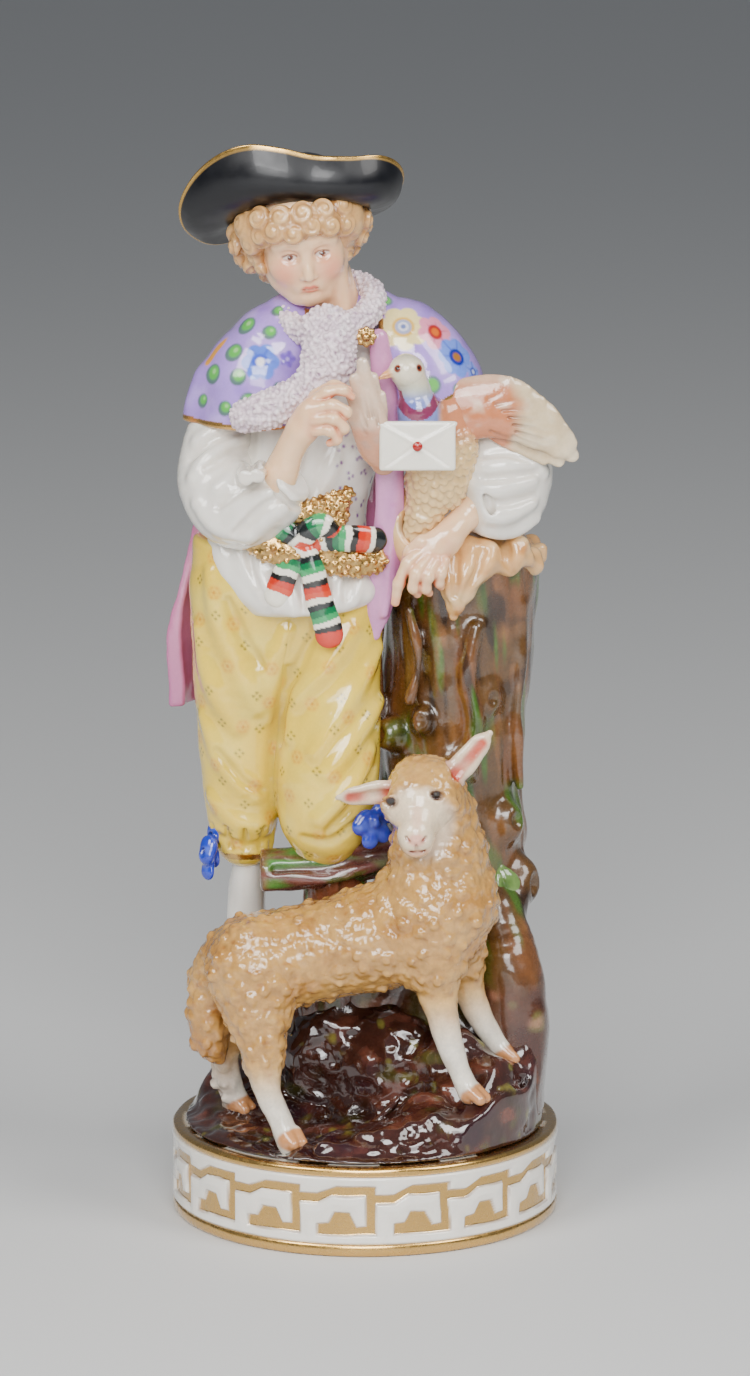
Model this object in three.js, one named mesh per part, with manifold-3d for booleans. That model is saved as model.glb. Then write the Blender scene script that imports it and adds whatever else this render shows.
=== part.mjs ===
// A porcelain shepherd group. A boy in a cape and breeches kneels with one leg on a log and leans on
// a tree trunk, a dove on his arm brings him a letter, and a lamb stands at his feet, on a round
// plinth with a meander band. Millimetres, +Z up, origin in the middle of the plinth's underside,
// the group facing -Y. Right and left are the boy's own.
// Each mesh is one moulded or modelled piece, as it is before the pieces are luted with slip.

import * as THREE from "three";
import { mergeVertices } from "three/addons/utils/BufferGeometryUtils.js";
import Module from "manifold-3d";

const wasm = await Module();
wasm.setup();
const { Manifold, Mesh: SolidMesh } = wasm;

// ---------------------------------------------------------------- driving dimensions
const SLIP_GAP = 0.3; // thickness of the slip between two luted pieces

const PLINTH_RADIUS = 47.5;
const PLINTH_HEIGHT = 22;
const TOP_RIM_HEIGHT = 2.3;
const FOOT_RIM_HEIGHT = 3.2;
const RIM_PROUD = 0.9; // how far both rims stand out from the wall between them
const BAND_REPEATS = 16; // repeats of the meander round the plinth
const BAND_THICKNESS = 1.6;
const KEY_LINE = 2.1; // width of the meander's line
const KEY_DEPTH = 0.7;
const VENT_RADIUS = 3; // firing vent, from the plinth's underside into the hollow trunk

const GROUND_INSET = 3.4; // width of rim left bare round the ground
const GROUND_EDGE = 1.4; // thickness of the ground where it ends
const BOY_ROCK = 13; // rise of the ground under the boy's right shoe
const TRUNK_MOUND = 17; // rise of the ground round the trunk
const LAMB_ROCK = 19; // rise of the ledge under the lamb's forefeet

const TRUNK_RADIUS = 18.5;
const TRUNK_WALL = 6.5;
const ROOT_HEIGHT = 46; // the trunk's lower piece, up from the plinth
const LOG_RADIUS = 5.6;
const LOG_LENGTH = 34;

const SHIN = 54; // from the right shoe's sole to the knee
const THIGH = 58;
const BACK = 62; // from the hips to the top of the shoulders
const ARM_DROP = 52; // from the top of the shoulders down to the trunk's top
const NECK = 14;
const CALF_RADIUS = 4.8;
const WRIST_RADIUS = 3.7;
const HEAD_WIDTH = 23;
const HEAD_HEIGHT = 29;
const HAT_WIDTH = 52;
const CAPE_RADIUS = 13.5;
const CLOTH = 2.4; // thickness of the coat's skirt and lapel

const LETTER_WIDTH = 18.4;
const LETTER_HEIGHT = 12;
const LETTER_THICKNESS = 1.6;
const WING_SPAN = 29;
const WING_THICKNESS = 3;

const LAMB_LEG = 46; // from a hind hoof to the middle of the barrel
const LAMB_GIRTH = 14; // half the barrel's width
const LAMB_SHANK = 2.9; // radius of a leg above its hoof

// ---------------------------------------------------------------- solids
const V = (x, y, z) => new THREE.Vector3(x, y, z);
const turnedBy = (turn) =>
  new THREE.Matrix4().makeRotationFromEuler(new THREE.Euler(...turn.map(THREE.MathUtils.degToRad)));

function solidOf(geometry) {
  const bare = geometry.clone();
  for (const name of Object.keys(bare.attributes)) {
    if (name !== "position") bare.deleteAttribute(name);
  }
  const merged = mergeVertices(bare, 1e-4);
  const solid = new Manifold(
    new SolidMesh({
      numProp: 3,
      vertProperties: new Float32Array(merged.attributes.position.array),
      triVerts: new Uint32Array(merged.index.array),
    }),
  );
  return solid;
}

// A lathe's sense depends on its profile's, so one that came out inside out is turned back.
function latheSolid(lathe) {
  const made = solidOf(lathe);
  if (made.volume() > 0) return made;
  const corners = lathe.index.array;
  for (let i = 0; i < corners.length; i += 3) {
    [corners[i + 1], corners[i + 2]] = [corners[i + 2], corners[i + 1]];
  }
  return solidOf(lathe);
}

function join(...solids) {
  return solids.reduce((whole, next) => whole.add(next));
}

// A lathe about Z through (radius, z) points that start and end on the axis.
function turned(points, sides) {
  const lathe = new THREE.LatheGeometry(points.map(([radius, z]) => new THREE.Vector2(radius, z)), sides);
  lathe.rotateX(Math.PI / 2);
  return latheSolid(lathe);
}

function post(x, y, radius, bottom, top, sides) {
  const drum = new THREE.CylinderGeometry(radius, radius, top - bottom, sides);
  drum.rotateX(Math.PI / 2);
  drum.translate(x, y, (top + bottom) / 2);
  return solidOf(drum);
}

// One station of a limb: where its middle is, and its half width and half depth there.
const at = (x, y, z, wide, deep = wide) => ({ middle: V(x, y, z), wide, deep });

// The section's share of its full size, and how far it lies past the limb's end, at a round end.
const ROUND_END = [
  [0.74, 0.52],
  [0, 0.8],
];

// A limb runs through its stations with an oval section. Wide lies along the across direction. Its
// ends are round, or flat where it butts against its neighbour.
function limb(stations, { grow = 0, across = V(1, 0, 0), sides = 9, flat = false, steps = 2 } = {}) {
  const spine = new THREE.CatmullRomCurve3(stations.map((station) => station.middle), false, "centripetal");
  const last = stations.length - 1;
  const rings = last * steps;
  const half = (t, key) => {
    const low = Math.min(Math.floor(t * last), last - 1);
    const share = THREE.MathUtils.smoothstep(t * last - low, 0, 1);
    return THREE.MathUtils.lerp(stations[low][key], stations[low + 1][key], share) + grow;
  };
  // Each row of the lathe: share of the full section, place along the spine, reach past its end.
  const rows = [];
  for (let ring = 0; ring <= rings; ring++) rows.push([1, ring / rings, 0]);
  if (flat) {
    rows[0][2] = -grow;
    rows[rings][2] = grow;
    rows.unshift([0, 0, -grow]);
    rows.push([0, 1, grow]);
  } else {
    for (const [share, reach] of ROUND_END) {
      rows.unshift([share, 0, -reach]);
      rows.push([share, 1, reach]);
    }
  }
  const lathe = new THREE.LatheGeometry(rows.map(([share], row) => new THREE.Vector2(share, row)), sides);
  const spot = lathe.getAttribute("position");
  for (let i = 0; i < spot.count; i++) {
    const [, t, end] = rows[Math.round(spot.getY(i))];
    const along = spine.getTangent(t);
    const u = across.clone().addScaledVector(along, -across.dot(along)).normalize();
    const v = new THREE.Vector3().crossVectors(along, u);
    const reach = flat ? end : end * Math.min(half(t, "wide"), half(t, "deep"));
    const point = spine
      .getPoint(t)
      .addScaledVector(along, reach)
      .addScaledVector(u, spot.getX(i) * half(t, "wide"))
      .addScaledVector(v, spot.getZ(i) * half(t, "deep"));
    spot.setXYZ(i, point.x, point.y, point.z);
  }
  return latheSolid(lathe);
}

// An egg: an ellipsoid turned by angles in degrees.
function egg(middle, [rx, ry, rz], { grow = 0, turn = [0, 0, 0], sides = 10, rows = 6 } = {}) {
  const sphere = new THREE.SphereGeometry(1, sides, rows);
  sphere.scale(rx + grow, ry + grow, rz + grow);
  sphere.applyMatrix4(turnedBy(turn));
  sphere.translate(middle.x, middle.y, middle.z);
  return solidOf(sphere);
}

function slab(middle, [sx, sy, sz], { grow = 0, turn = [0, 0, 0] } = {}) {
  const box = new THREE.BoxGeometry(sx + 2 * grow, sy + 2 * grow, sz + 2 * grow);
  box.applyMatrix4(turnedBy(turn));
  box.translate(middle.x, middle.y, middle.z);
  return solidOf(box);
}

function ring(middle, radius, thick, { grow = 0, turn = [0, 0, 0] } = {}) {
  const torus = new THREE.TorusGeometry(radius, thick + grow, 6, 12);
  torus.applyMatrix4(turnedBy(turn));
  torus.translate(middle.x, middle.y, middle.z);
  return solidOf(torus);
}

// ---------------------------------------------------------------- fitting the pieces
const figurine = new THREE.Group();
const fitted = []; // the outer form of every piece so far, grown by the slip gap

const glaze = (name, color, roughness = 0.15, metalness = 0) =>
  new THREE.MeshStandardMaterial({ name, color, roughness, metalness });
const white = glaze("white", "#eeeae0");
const gilt = glaze("gilt", "#c08a2e", 0.3, 1);
const flesh = glaze("flesh", "#edcfb4");
const bark = glaze("bark", "#7d6048");
const earth = glaze("earth", "#4c352a");
const moss = glaze("moss", "#6c7a4e");
const tan = glaze("tan", "#c9965e");
const mauve = glaze("mauve", "#b184ad");
const lavender = glaze("lavender", "#9d84c6");
const yellow = glaze("yellow", "#e5db86");
const black = glaze("black", "#0a0a10");
const blue = glaze("blue", "#3a57b8");
const striped = glaze("striped", "#c65a3c");
const fleece = glaze("fleece", "#cdb28a", 0.3);
const face = glaze("face", "#efe4d4");
const fur = glaze("fur", "#c9bcc0", 0.5);
const blond = glaze("blond", "#cfae7c");
const plumage = glaze("plumage", "#8f93b4");
const feather = glaze("feather", "#b79a7f");
const sealing = glaze("sealing", "#b0342a");

function boxesMeet(a, b) {
  const p = a.boundingBox();
  const q = b.boundingBox();
  return [0, 1, 2].every((k) => p.min[k] < q.max[k] && q.min[k] < p.max[k]);
}

// The main body of a cut piece: the crumbs that a seam leaves are trimmed off.
function trimmed(solid) {
  return solid.decompose().reduce((most, next) => (next.volume() > most.volume() ? next : most));
}

// Cuts one piece to lie against all those before it. form(grow) is its outer form.
function fit(name, material, form, hollow) {
  let solid = form(0);
  for (const other of fitted) {
    if (boxesMeet(solid, other)) solid = solid.subtract(other);
  }
  if (hollow) solid = solid.subtract(hollow);
  solid = trimmed(solid);
  fitted.push(form(SLIP_GAP));
  const { vertProperties, triVerts } = solid.getMesh();
  const geometry = new THREE.BufferGeometry();
  geometry.setAttribute("position", new THREE.BufferAttribute(vertProperties, 3));
  geometry.setIndex(new THREE.BufferAttribute(triVerts, 1));
  geometry.computeVertexNormals();
  const mesh = new THREE.Mesh(geometry, material);
  mesh.name = name;
  figurine.add(mesh);
}

// ---------------------------------------------------------------- plinth and meander band
const PLINTH_SIDES = 2 * BAND_REPEATS;
const wallRadius = PLINTH_RADIUS - RIM_PROUD;
const bedRadius = wallRadius - BAND_THICKNESS + 0.4; // the band stands 0.4 proud of the wall
const bandBottom = FOOT_RIM_HEIGHT;
const bandTop = PLINTH_HEIGHT - TOP_RIM_HEIGHT;

function plinth(grow) {
  return turned(
    [
      [0, -grow],
      [PLINTH_RADIUS + grow, -grow],
      [PLINTH_RADIUS + grow, bandBottom - SLIP_GAP + grow],
      [bedRadius + grow, bandBottom - SLIP_GAP + grow],
      [bedRadius + grow, bandTop + SLIP_GAP - grow],
      [PLINTH_RADIUS + grow, bandTop + SLIP_GAP - grow],
      [PLINTH_RADIUS + grow, PLINTH_HEIGHT + grow],
      [0, PLINTH_HEIGHT + grow],
    ],
    PLINTH_SIDES,
  );
}

const trunkMiddle = { x: 24, y: 13 };
const rootTop = PLINTH_HEIGHT + ROOT_HEIGHT;
const vent = post(trunkMiddle.x - 3, trunkMiddle.y - 2, VENT_RADIUS, -1, rootTop, 10);
fit("plinth", white, plinth, vent);

// One repeat of the key: bars as [middle along the pitch, width, bottom, height] in millimetres.
const pitch = (2 * Math.PI * wallRadius) / BAND_REPEATS;
const keyBars = [
  [pitch * 0.6, pitch * 0.6, bandTop - 2 * KEY_LINE, KEY_LINE],
  [pitch * 0.9 - KEY_LINE / 2, KEY_LINE, bandBottom + KEY_LINE, bandTop - bandBottom - 3 * KEY_LINE],
  [pitch * 0.5, pitch * 0.78, bandBottom + KEY_LINE, KEY_LINE],
];

function band(grow) {
  const outer = bedRadius + BAND_THICKNESS + grow;
  const hoop = turned([[0, bandBottom], [outer, bandBottom], [outer, bandTop], [0, bandTop]], PLINTH_SIDES);
  return hoop.subtract(post(0, 0, bedRadius + SLIP_GAP - grow, -1, PLINTH_HEIGHT + 1, PLINTH_SIDES));
}

function keyCuts() {
  const face = bedRadius + BAND_THICKNESS;
  const cuts = [];
  for (let repeat = 0; repeat < BAND_REPEATS; repeat++) {
    for (const [along, width, bottom, height] of keyBars) {
      const bar = new THREE.BoxGeometry(2 * KEY_DEPTH, width, height);
      bar.translate(face, 0, bottom + height / 2);
      bar.rotateZ((repeat * 2 * Math.PI) / BAND_REPEATS + along / wallRadius);
      cuts.push(solidOf(bar));
    }
  }
  return Manifold.union(cuts);
}
fit("meander_band", white, band, keyCuts());

// ---------------------------------------------------------------- ground and stones
const groundRadius = PLINTH_RADIUS - GROUND_INSET;
const boyFoot = { x: -28, y: 11 };
const lambLedge = { x: 32, y: -20 };
const hindNear = { x: -18, y: -33 };

const hill = (x, y, peak, wide, deep) => Math.exp(-(((x - peak.x) / wide) ** 2) - ((y - peak.y) / deep) ** 2);
function groundHeight(x, y) {
  const rise =
    BOY_ROCK * hill(x, y, boyFoot, 14, 13) +
    TRUNK_MOUND * hill(x, y, { x: trunkMiddle.x - 8, y: trunkMiddle.y }, 30, 20) +
    LAMB_ROCK * hill(x, y, lambLedge, 15, 16);
  return GROUND_EDGE + rise * THREE.MathUtils.smoothstep(groundRadius - Math.hypot(x, y), 0, 4);
}
const groundFloor = PLINTH_HEIGHT + SLIP_GAP;
const groundAt = (x, y) => groundFloor + groundHeight(x, y);

function ground(grow) {
  const widths = [0, 0.14, 0.28, 0.42, 0.56, 0.7, 0.82, 0.91, 1];
  const profile = [[0, 0], [groundRadius + grow, 0]];
  for (const share of [...widths].reverse()) profile.push([share * (groundRadius + grow), 1]);
  const lathe = new THREE.LatheGeometry(profile.map(([radius, row]) => new THREE.Vector2(radius, row)), 30);
  lathe.rotateX(Math.PI / 2);
  const spot = lathe.getAttribute("position");
  for (let i = 0; i < spot.count; i++) {
    const top = spot.getZ(i) > 0.5;
    spot.setZ(i, top ? groundAt(spot.getX(i), spot.getY(i)) + grow : groundFloor - grow);
  }
  return latheSolid(lathe);
}
fit("ground", earth, ground, vent);

function stone(name, x, y, radii, turn) {
  fit(name, earth, (grow) => egg(V(x, y, groundAt(x, y) + radii[2] * 0.2), radii, { grow, turn }));
}
stone("stone_left", -5, -31, [9, 6, 4.5], [0, 0, 20]);
stone("stone_middle", 10, -33, [7, 6.5, 6], [0, 20, 0]);
stone("stone_back", -8, 32, [10, 7, 7], [0, 0, 10]);

// ---------------------------------------------------------------- levels of the figure
const soleLevel = groundAt(boyFoot.x, boyFoot.y);
const kneeLevel = soleLevel + SHIN;
const hipLevel = kneeLevel + THIGH;
const shoulderLevel = hipLevel + BACK;
const restLevel = shoulderLevel - ARM_DROP; // the trunk's top, that the left arm leans on
const chinLevel = shoulderLevel + NECK;
const lambLevel = groundAt(hindNear.x, hindNear.y) + LAMB_LEG;

// ---------------------------------------------------------------- trunk, log and skin
const rootFoot = groundAt(trunkMiddle.x, trunkMiddle.y);
const bore = TRUNK_RADIUS - TRUNK_WALL;
const trunkHollow = limb(
  [
    at(trunkMiddle.x - 3, trunkMiddle.y - 2, rootFoot + 2, bore),
    at(trunkMiddle.x, trunkMiddle.y, restLevel - 18, bore),
  ],
  { steps: 1 },
);

const waist = at(trunkMiddle.x - 4, trunkMiddle.y - 1, rootTop, TRUNK_RADIUS - 3, TRUNK_RADIUS - 2);
const root = (grow) =>
  limb(
    [
      at(trunkMiddle.x - 5, trunkMiddle.y - 3, rootFoot - 8, TRUNK_RADIUS + 5, TRUNK_RADIUS + 1),
      at(trunkMiddle.x - 3, trunkMiddle.y - 2, rootFoot + 12, TRUNK_RADIUS + 1, TRUNK_RADIUS - 1),
      waist,
    ],
    { grow, flat: true, sides: 14 },
  );
fit("trunk_root", bark, root, join(trunkHollow, vent));

const trunk = (grow) =>
  limb(
    [
      { ...waist, middle: waist.middle.clone().setZ(rootTop + SLIP_GAP) },
      at(trunkMiddle.x - 3, trunkMiddle.y, rootTop + 26, TRUNK_RADIUS),
      at(trunkMiddle.x - 3, trunkMiddle.y, restLevel - 30, TRUNK_RADIUS),
      at(trunkMiddle.x, trunkMiddle.y, restLevel, TRUNK_RADIUS),
    ],
    { grow, flat: true, sides: 14, steps: 1 },
  );
fit("trunk", bark, trunk, trunkHollow);

// A point at a bearing from the trunk's middle, a distance out from its bark.
function besideTrunk(degrees, out) {
  const bearing = THREE.MathUtils.degToRad(degrees);
  return [
    trunkMiddle.x + (TRUNK_RADIUS + out) * Math.cos(bearing),
    trunkMiddle.y + (TRUNK_RADIUS + out) * Math.sin(bearing),
  ];
}
fit("side_rock", earth, (grow) =>
  limb(
    [
      at(...besideTrunk(-58, 0.4), rootFoot - 10, 10.5, 11),
      at(...besideTrunk(-57, -2), rootFoot + 4, 9, 9.5),
      at(...besideTrunk(-63, -5), rootFoot + 18, 8.5),
    ],
    { grow },
  ),
);

const logLevel = kneeLevel - LOG_RADIUS;
const logRoot = { x: trunkMiddle.x - TRUNK_RADIUS + 4, y: trunkMiddle.y - 13 };
fit("kneeling_log", moss, (grow) =>
  limb(
    [
      at(logRoot.x, logRoot.y, logLevel + 2, LOG_RADIUS * 0.85),
      at(logRoot.x - LOG_LENGTH / 2, logRoot.y - 5, logLevel, LOG_RADIUS),
      at(logRoot.x - LOG_LENGTH, logRoot.y - 6, logLevel - 1, LOG_RADIUS),
    ],
    { grow, across: V(0, 0, 1), flat: true },
  ),
);
fit("stump", bark, (grow) =>
  limb(
    [
      at(-7, 8, groundAt(-7, 8) - 4, 12, 10),
      at(-8, 3, (soleLevel + logLevel) / 2, 8),
      at(-7, -2, logLevel, 8, 7),
    ],
    { grow },
  ),
);
fit("ivy_leaf", moss, (grow) =>
  egg(V(...besideTrunk(-55, -2.7), rootTop + 10), [4, 3, 7.5], { grow, turn: [0, 10, 30] }),
);

// ---------------------------------------------------------------- body, head and hat
const torso = (grow) =>
  limb(
    [
      at(-17, 1, hipLevel + 6, 15.5, 11),
      at(-15, 1, hipLevel + 24, 16, 11.5),
      at(-11, 1, hipLevel + 44, 18, 12),
      at(-6, 2, shoulderLevel - 4, 17, 9),
    ],
    { grow, sides: 12 },
  );
fit("torso", white, torso);

const headMiddle = V(-15, -3, chinLevel + HEAD_HEIGHT / 2 - 1);
const fromHead = (x, y, z) => headMiddle.clone().add(V(x, y, z));
fit("head", flesh, (grow) =>
  egg(headMiddle, [HEAD_WIDTH / 2, HEAD_WIDTH * 0.54, HEAD_HEIGHT / 2], { grow, turn: [14, 8, 0], rows: 9 }),
);
fit("neck", flesh, (grow) =>
  limb(
    [
      at(-5, 2, shoulderLevel, 6.5),
      at(-8, 1, chinLevel - 2, 5.4),
      at(-11, 1, chinLevel + 5, 5.4),
    ],
    { grow },
  ),
);
fit("hair", blond, (grow) =>
  egg(fromHead(-0.5, 3, 5), [HEAD_WIDTH * 0.75, 15.5, HEAD_HEIGHT * 0.45], { grow, rows: 8 }),
);
fit("hat", black, (grow) =>
  join(
    egg(fromHead(-2.5, 8, 11), [HAT_WIDTH / 2, 17, 11], { grow, turn: [-28, 0, 0], sides: 14 }),
    egg(fromHead(-1, 13, 10), [HEAD_WIDTH * 0.7, 14, 12], { grow, turn: [-28, 0, 0] }),
    egg(fromHead(-17, 4, 6), [12, 9, 10], { grow, sides: 8 }),
  ),
);

// ---------------------------------------------------------------- legs
const breechesRight = (grow) =>
  limb(
    [
      at(-27.5, 1, hipLevel + 1, 15, 12.5),
      at(-30, 1, kneeLevel + THIGH * 0.5, 10.5, 11),
      at(-29, 2, kneeLevel + 2, 8),
    ],
    { grow, sides: 12 },
  );
const breechesLeft = (grow) =>
  limb(
    [
      at(-10, 0, hipLevel + 1, 13.5, 12),
      at(-9, -3, kneeLevel + THIGH * 0.6, 12),
      at(-9, -6, kneeLevel + 9, 12.3, 11.5),
    ],
    { grow, sides: 12 },
  );
fit("breeches_right", yellow, breechesRight);
fit("breeches_left", yellow, breechesLeft);

fit("shoe_right", black, (grow) =>
  limb(
    [
      at(boyFoot.x, boyFoot.y + 4, soleLevel + 4, 4, 4.2),
      at(boyFoot.x - 1, boyFoot.y - 7, soleLevel + 2.4, 4.2, 2.8),
    ],
    { grow },
  ),
);
fit("stocking_right", white, (grow) =>
  limb(
    [
      at(boyFoot.x, boyFoot.y + 3, soleLevel + 6, CALF_RADIUS * 0.7),
      at(boyFoot.x - 1, 9, kneeLevel - SHIN * 0.35, CALF_RADIUS),
      at(-29, 3, kneeLevel, CALF_RADIUS * 0.9),
    ],
    { grow },
  ),
);
fit("stocking_left", white, (grow) =>
  limb([at(-9, 0, kneeLevel + 7, CALF_RADIUS), at(-10, 18, kneeLevel + 3, CALF_RADIUS * 0.9)], { grow }),
);
fit("shoe_left", black, (grow) =>
  limb([at(-10, 20, kneeLevel + 5, 4), at(-10, 27, kneeLevel - 5, 4.2, 3)], { grow }),
);
fit("garter_bow_right", blue, (grow) =>
  egg(V(-37, 0, kneeLevel - 1), [3.8, 3.5, 6.5], { grow, turn: [0, 10, 0] }),
);
fit("garter_bow_left", blue, (grow) =>
  egg(V(1, -11, kneeLevel + 3), [5, 4, 4.5], { grow }),
);

// ---------------------------------------------------------------- dress
const waistLevel = hipLevel + 13;
const roundWaist = (level, wide, deep) => at(-17, 0.5, level, wide, deep);
const hoop = (grow, low, high) => limb([low, high], { grow, flat: true, sides: 14 });
fit("belt", gilt, (grow) =>
  hoop(grow, roundWaist(waistLevel - 2.5, 17.5, 13), roundWaist(waistLevel + 2.5, 17.5, 13)),
);
fit("peplum", white, (grow) =>
  hoop(grow, roundWaist(waistLevel - 13, 20, 15), roundWaist(waistLevel - 3, 18, 13.5)),
);
fit("sash_bow", striped, (grow) =>
  join(
    egg(V(-16, -14, waistLevel - 2), [3, 3, 3], { grow, sides: 8, rows: 6 }),
    egg(V(-21, -14.5, waistLevel + 1), [5.5, 2.4, 3.5], { grow, turn: [0, 30, 0], sides: 8, rows: 6 }),
    egg(V(-9, -14.5, waistLevel - 1), [7, 2.4, 3.2], { grow, sides: 8, rows: 6 }),
  ),
);
const knot = at(-16, -15, waistLevel - 5, 2.5, 1.6);
fit("sash_tails", striped, (grow) =>
  join(
    limb([knot, at(-22, -15.5, waistLevel - 15, 4, 1.6)], { grow, sides: 8 }),
    limb([knot, at(-12.5, -15, waistLevel - 24, 4.2, 1.6)], { grow, sides: 8 }),
  ),
);
fit("lapel", mauve, (grow) =>
  limb(
    [
      at(4, -9, shoulderLevel - 2, 3, CLOTH / 2),
      at(5, -8, shoulderLevel - 27, 3.4, CLOTH / 2),
      at(4, -7, waistLevel + 2, 4, CLOTH / 2),
      at(3, -6, waistLevel - 17, 3, CLOTH / 2),
    ],
    { grow, steps: 1 },
  ),
);

// ---------------------------------------------------------------- arms
const elbowLevel = shoulderLevel - 33;
fit("sleeve_right", white, (grow) =>
  limb(
    [
      at(-30, 3, shoulderLevel - 8, 7.5),
      at(-37, -1, shoulderLevel - 20, 7),
      at(-34, -9, elbowLevel, 9),
      at(-22, -15, elbowLevel + 2, 7.5),
    ],
    { grow, across: V(0.6, -0.8, 0) },
  ),
);
function finger(grow, knuckle, tip) {
  return limb(
    [at(...knuckle.toArray(), 1.5), at(...tip.toArray(), 1.2)],
    { grow, sides: 7, steps: 1 },
  );
}
fit("hand_right", flesh, (grow) =>
  join(
    limb(
      [
        at(-22, -16, elbowLevel + 3, WRIST_RADIUS),
        at(-14.5, -19, elbowLevel + 15, WRIST_RADIUS, WRIST_RADIUS - 0.4),
        at(-9.5, -20.5, elbowLevel + 23.5, 4.6, 3.4),
        at(-5, -21.5, elbowLevel + 26.5, 2.8, 2.6),
      ],
      { grow },
    ),
    finger(grow, V(-9, -22, elbowLevel + 25), V(-2, -22.5, elbowLevel + 24)),
    finger(grow, V(-9, -23, elbowLevel + 21), V(-3.5, -23.5, elbowLevel + 19)),
  ),
);
fit("sleeve_left", white, (grow) =>
  limb(
    [
      at(18, 5, shoulderLevel - 8, 8),
      at(34, 7, shoulderLevel - 21, 8.5),
      at(35, 3, elbowLevel - 2, 8.5),
      at(28, -3, elbowLevel - 3, 6),
    ],
    { grow, across: V(0, 1, 0) },
  ),
);
fit("hand_left", flesh, (grow) =>
  join(
    limb(
      [
        at(28, -3, elbowLevel - 3, WRIST_RADIUS),
        at(21, -8, elbowLevel - 9, WRIST_RADIUS, WRIST_RADIUS - 0.6),
        at(15, -11.5, elbowLevel - 15, 5, 2.6),
        at(12, -12.5, elbowLevel - 19, 4.4, 2.2),
      ],
      { grow, across: V(0.8, 0, -0.6) },
    ),
    finger(grow, V(10, -12.5, elbowLevel - 18), V(8, -12, elbowLevel - 26)),
    finger(grow, V(14, -12.5, elbowLevel - 19), V(12.5, -12, elbowLevel - 25)),
  ),
);
const skinFront = trunkMiddle.y - TRUNK_RADIUS - 3; // where the skin's point hangs down the bark
fit("goatskin", tan, (grow) =>
  join(
    egg(
      V(trunkMiddle.x, trunkMiddle.y - 1, restLevel),
      [TRUNK_RADIUS + 1, TRUNK_RADIUS + 1, 5.5],
      { grow, sides: 16 },
    ),
    limb(
      [
        at(22, skinFront + 2.5, restLevel + 1, 9, 4),
        at(22, skinFront, restLevel - 6, 6, 2.6),
        at(21, skinFront + 0.5, restLevel - 13, 2.5, 2),
      ],
      { grow, steps: 1 },
    ),
    limb(
      [
        at(8, -5, restLevel + 15, 4, 3.6),
        at(9, -7, restLevel + 6, 4.5, 3.6),
        at(15, -5, restLevel, 6, 4),
      ],
      { grow, steps: 1 },
    ),
  ),
);
const beforeBack = slab(V(-20, -40, shoulderLevel - 60), [100, 90, 200]);
fit(
  "coat_skirt",
  mauve,
  (grow) =>
    limb(
      [
        at(-15, 3, shoulderLevel - 18, 19, 10 + CLOTH),
        at(-20, 4, waistLevel, 22, 11 + CLOTH),
        at(-25, 5, kneeLevel + THIGH * 0.62, 22, 10 + CLOTH),
      ],
      { grow, flat: true, sides: 14 },
    ),
  beforeBack,
);

// ---------------------------------------------------------------- cape and fur
const capeOpening = slab(V(-5.5, -20, shoulderLevel - 10), [21, 40, 60]);
fit(
  "cape_right",
  lavender,
  (grow) =>
    limb(
      [
        at(-14, 2, shoulderLevel + 10, 8, 8),
        at(-24, 2, shoulderLevel - 4, CAPE_RADIUS + 3, CAPE_RADIUS),
        at(-26, 2, shoulderLevel - 16, CAPE_RADIUS + 3, CAPE_RADIUS),
      ],
      { grow, flat: true, sides: 12 },
    ),
  capeOpening,
);
fit(
  "cape_left",
  lavender,
  (grow) =>
    limb(
      [
        at(-2, 4, shoulderLevel + 10, 8, 8),
        at(9, 3, shoulderLevel - 2, CAPE_RADIUS + 4, CAPE_RADIUS),
        at(12, 3, shoulderLevel - 14, CAPE_RADIUS + 4.5, CAPE_RADIUS),
      ],
      { grow, flat: true, sides: 12 },
    ),
  capeOpening,
);
fit("fur_collar", fur, (grow) => ring(V(-8, 0, shoulderLevel + 10), 8.8, 4.4, { grow, turn: [8, -8, 0] }));
fit("fur_tail", fur, (grow) =>
  limb(
    [
      at(-7, -11, shoulderLevel + 7, 4.4, 3.6),
      at(-13, -14, shoulderLevel - 4, 5, 3.6),
      at(-26, -14.5, shoulderLevel - 14, 5, 3.6),
    ],
    { grow },
  ),
);
fit("brooch", gilt, (grow) => egg(V(0, -10, shoulderLevel + 5.5), [2.4, 2.2, 2.4], { grow }));

// ---------------------------------------------------------------- dove and letter
fit("dove_body", plumage, (grow) =>
  limb(
    [
      at(11.5, -13, shoulderLevel - 9, 4.2, 4.4),
      at(14, -11, shoulderLevel - 19, 6.6, 6),
      at(16, -8, shoulderLevel - 31, 5.5, 5),
      at(12, -8, shoulderLevel - 42, 4.5, 2.4),
    ],
    { grow },
  ),
);
fit("dove_head", plumage, (grow) =>
  join(
    egg(V(10, -14.5, shoulderLevel - 3), [3.8, 4.2, 4], { grow, sides: 10, rows: 7 }),
    limb(
      [at(8, -16, shoulderLevel - 3, 1.4), at(5.4, -17, shoulderLevel - 3.6, 0.7)],
      { grow, sides: 7, steps: 1 },
    ),
  ),
);
const wingRoot = V(22, -8, shoulderLevel - 12);
fit("dove_wing_left", feather, (grow) =>
  limb(
    [
      at(wingRoot.x, wingRoot.y, wingRoot.z, 5, WING_THICKNESS / 2),
      at(wingRoot.x + WING_SPAN * 0.4, wingRoot.y, wingRoot.z + 1.5, 7, WING_THICKNESS / 2),
      at(wingRoot.x + WING_SPAN * 0.9, wingRoot.y + 1.5, wingRoot.z - 8.5, 4.5, WING_THICKNESS / 2),
    ],
    { grow, across: V(0, 0, 1) },
  ),
);
fit("dove_wing_right", feather, (grow) =>
  limb(
    [
      at(5, -14, shoulderLevel - 27, 4, WING_THICKNESS / 2),
      at(2, -17, shoulderLevel - 15, 5.6, WING_THICKNESS / 2),
      at(-0.5, -19, shoulderLevel - 7, 3, WING_THICKNESS / 2),
    ],
    { grow },
  ),
);
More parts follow.
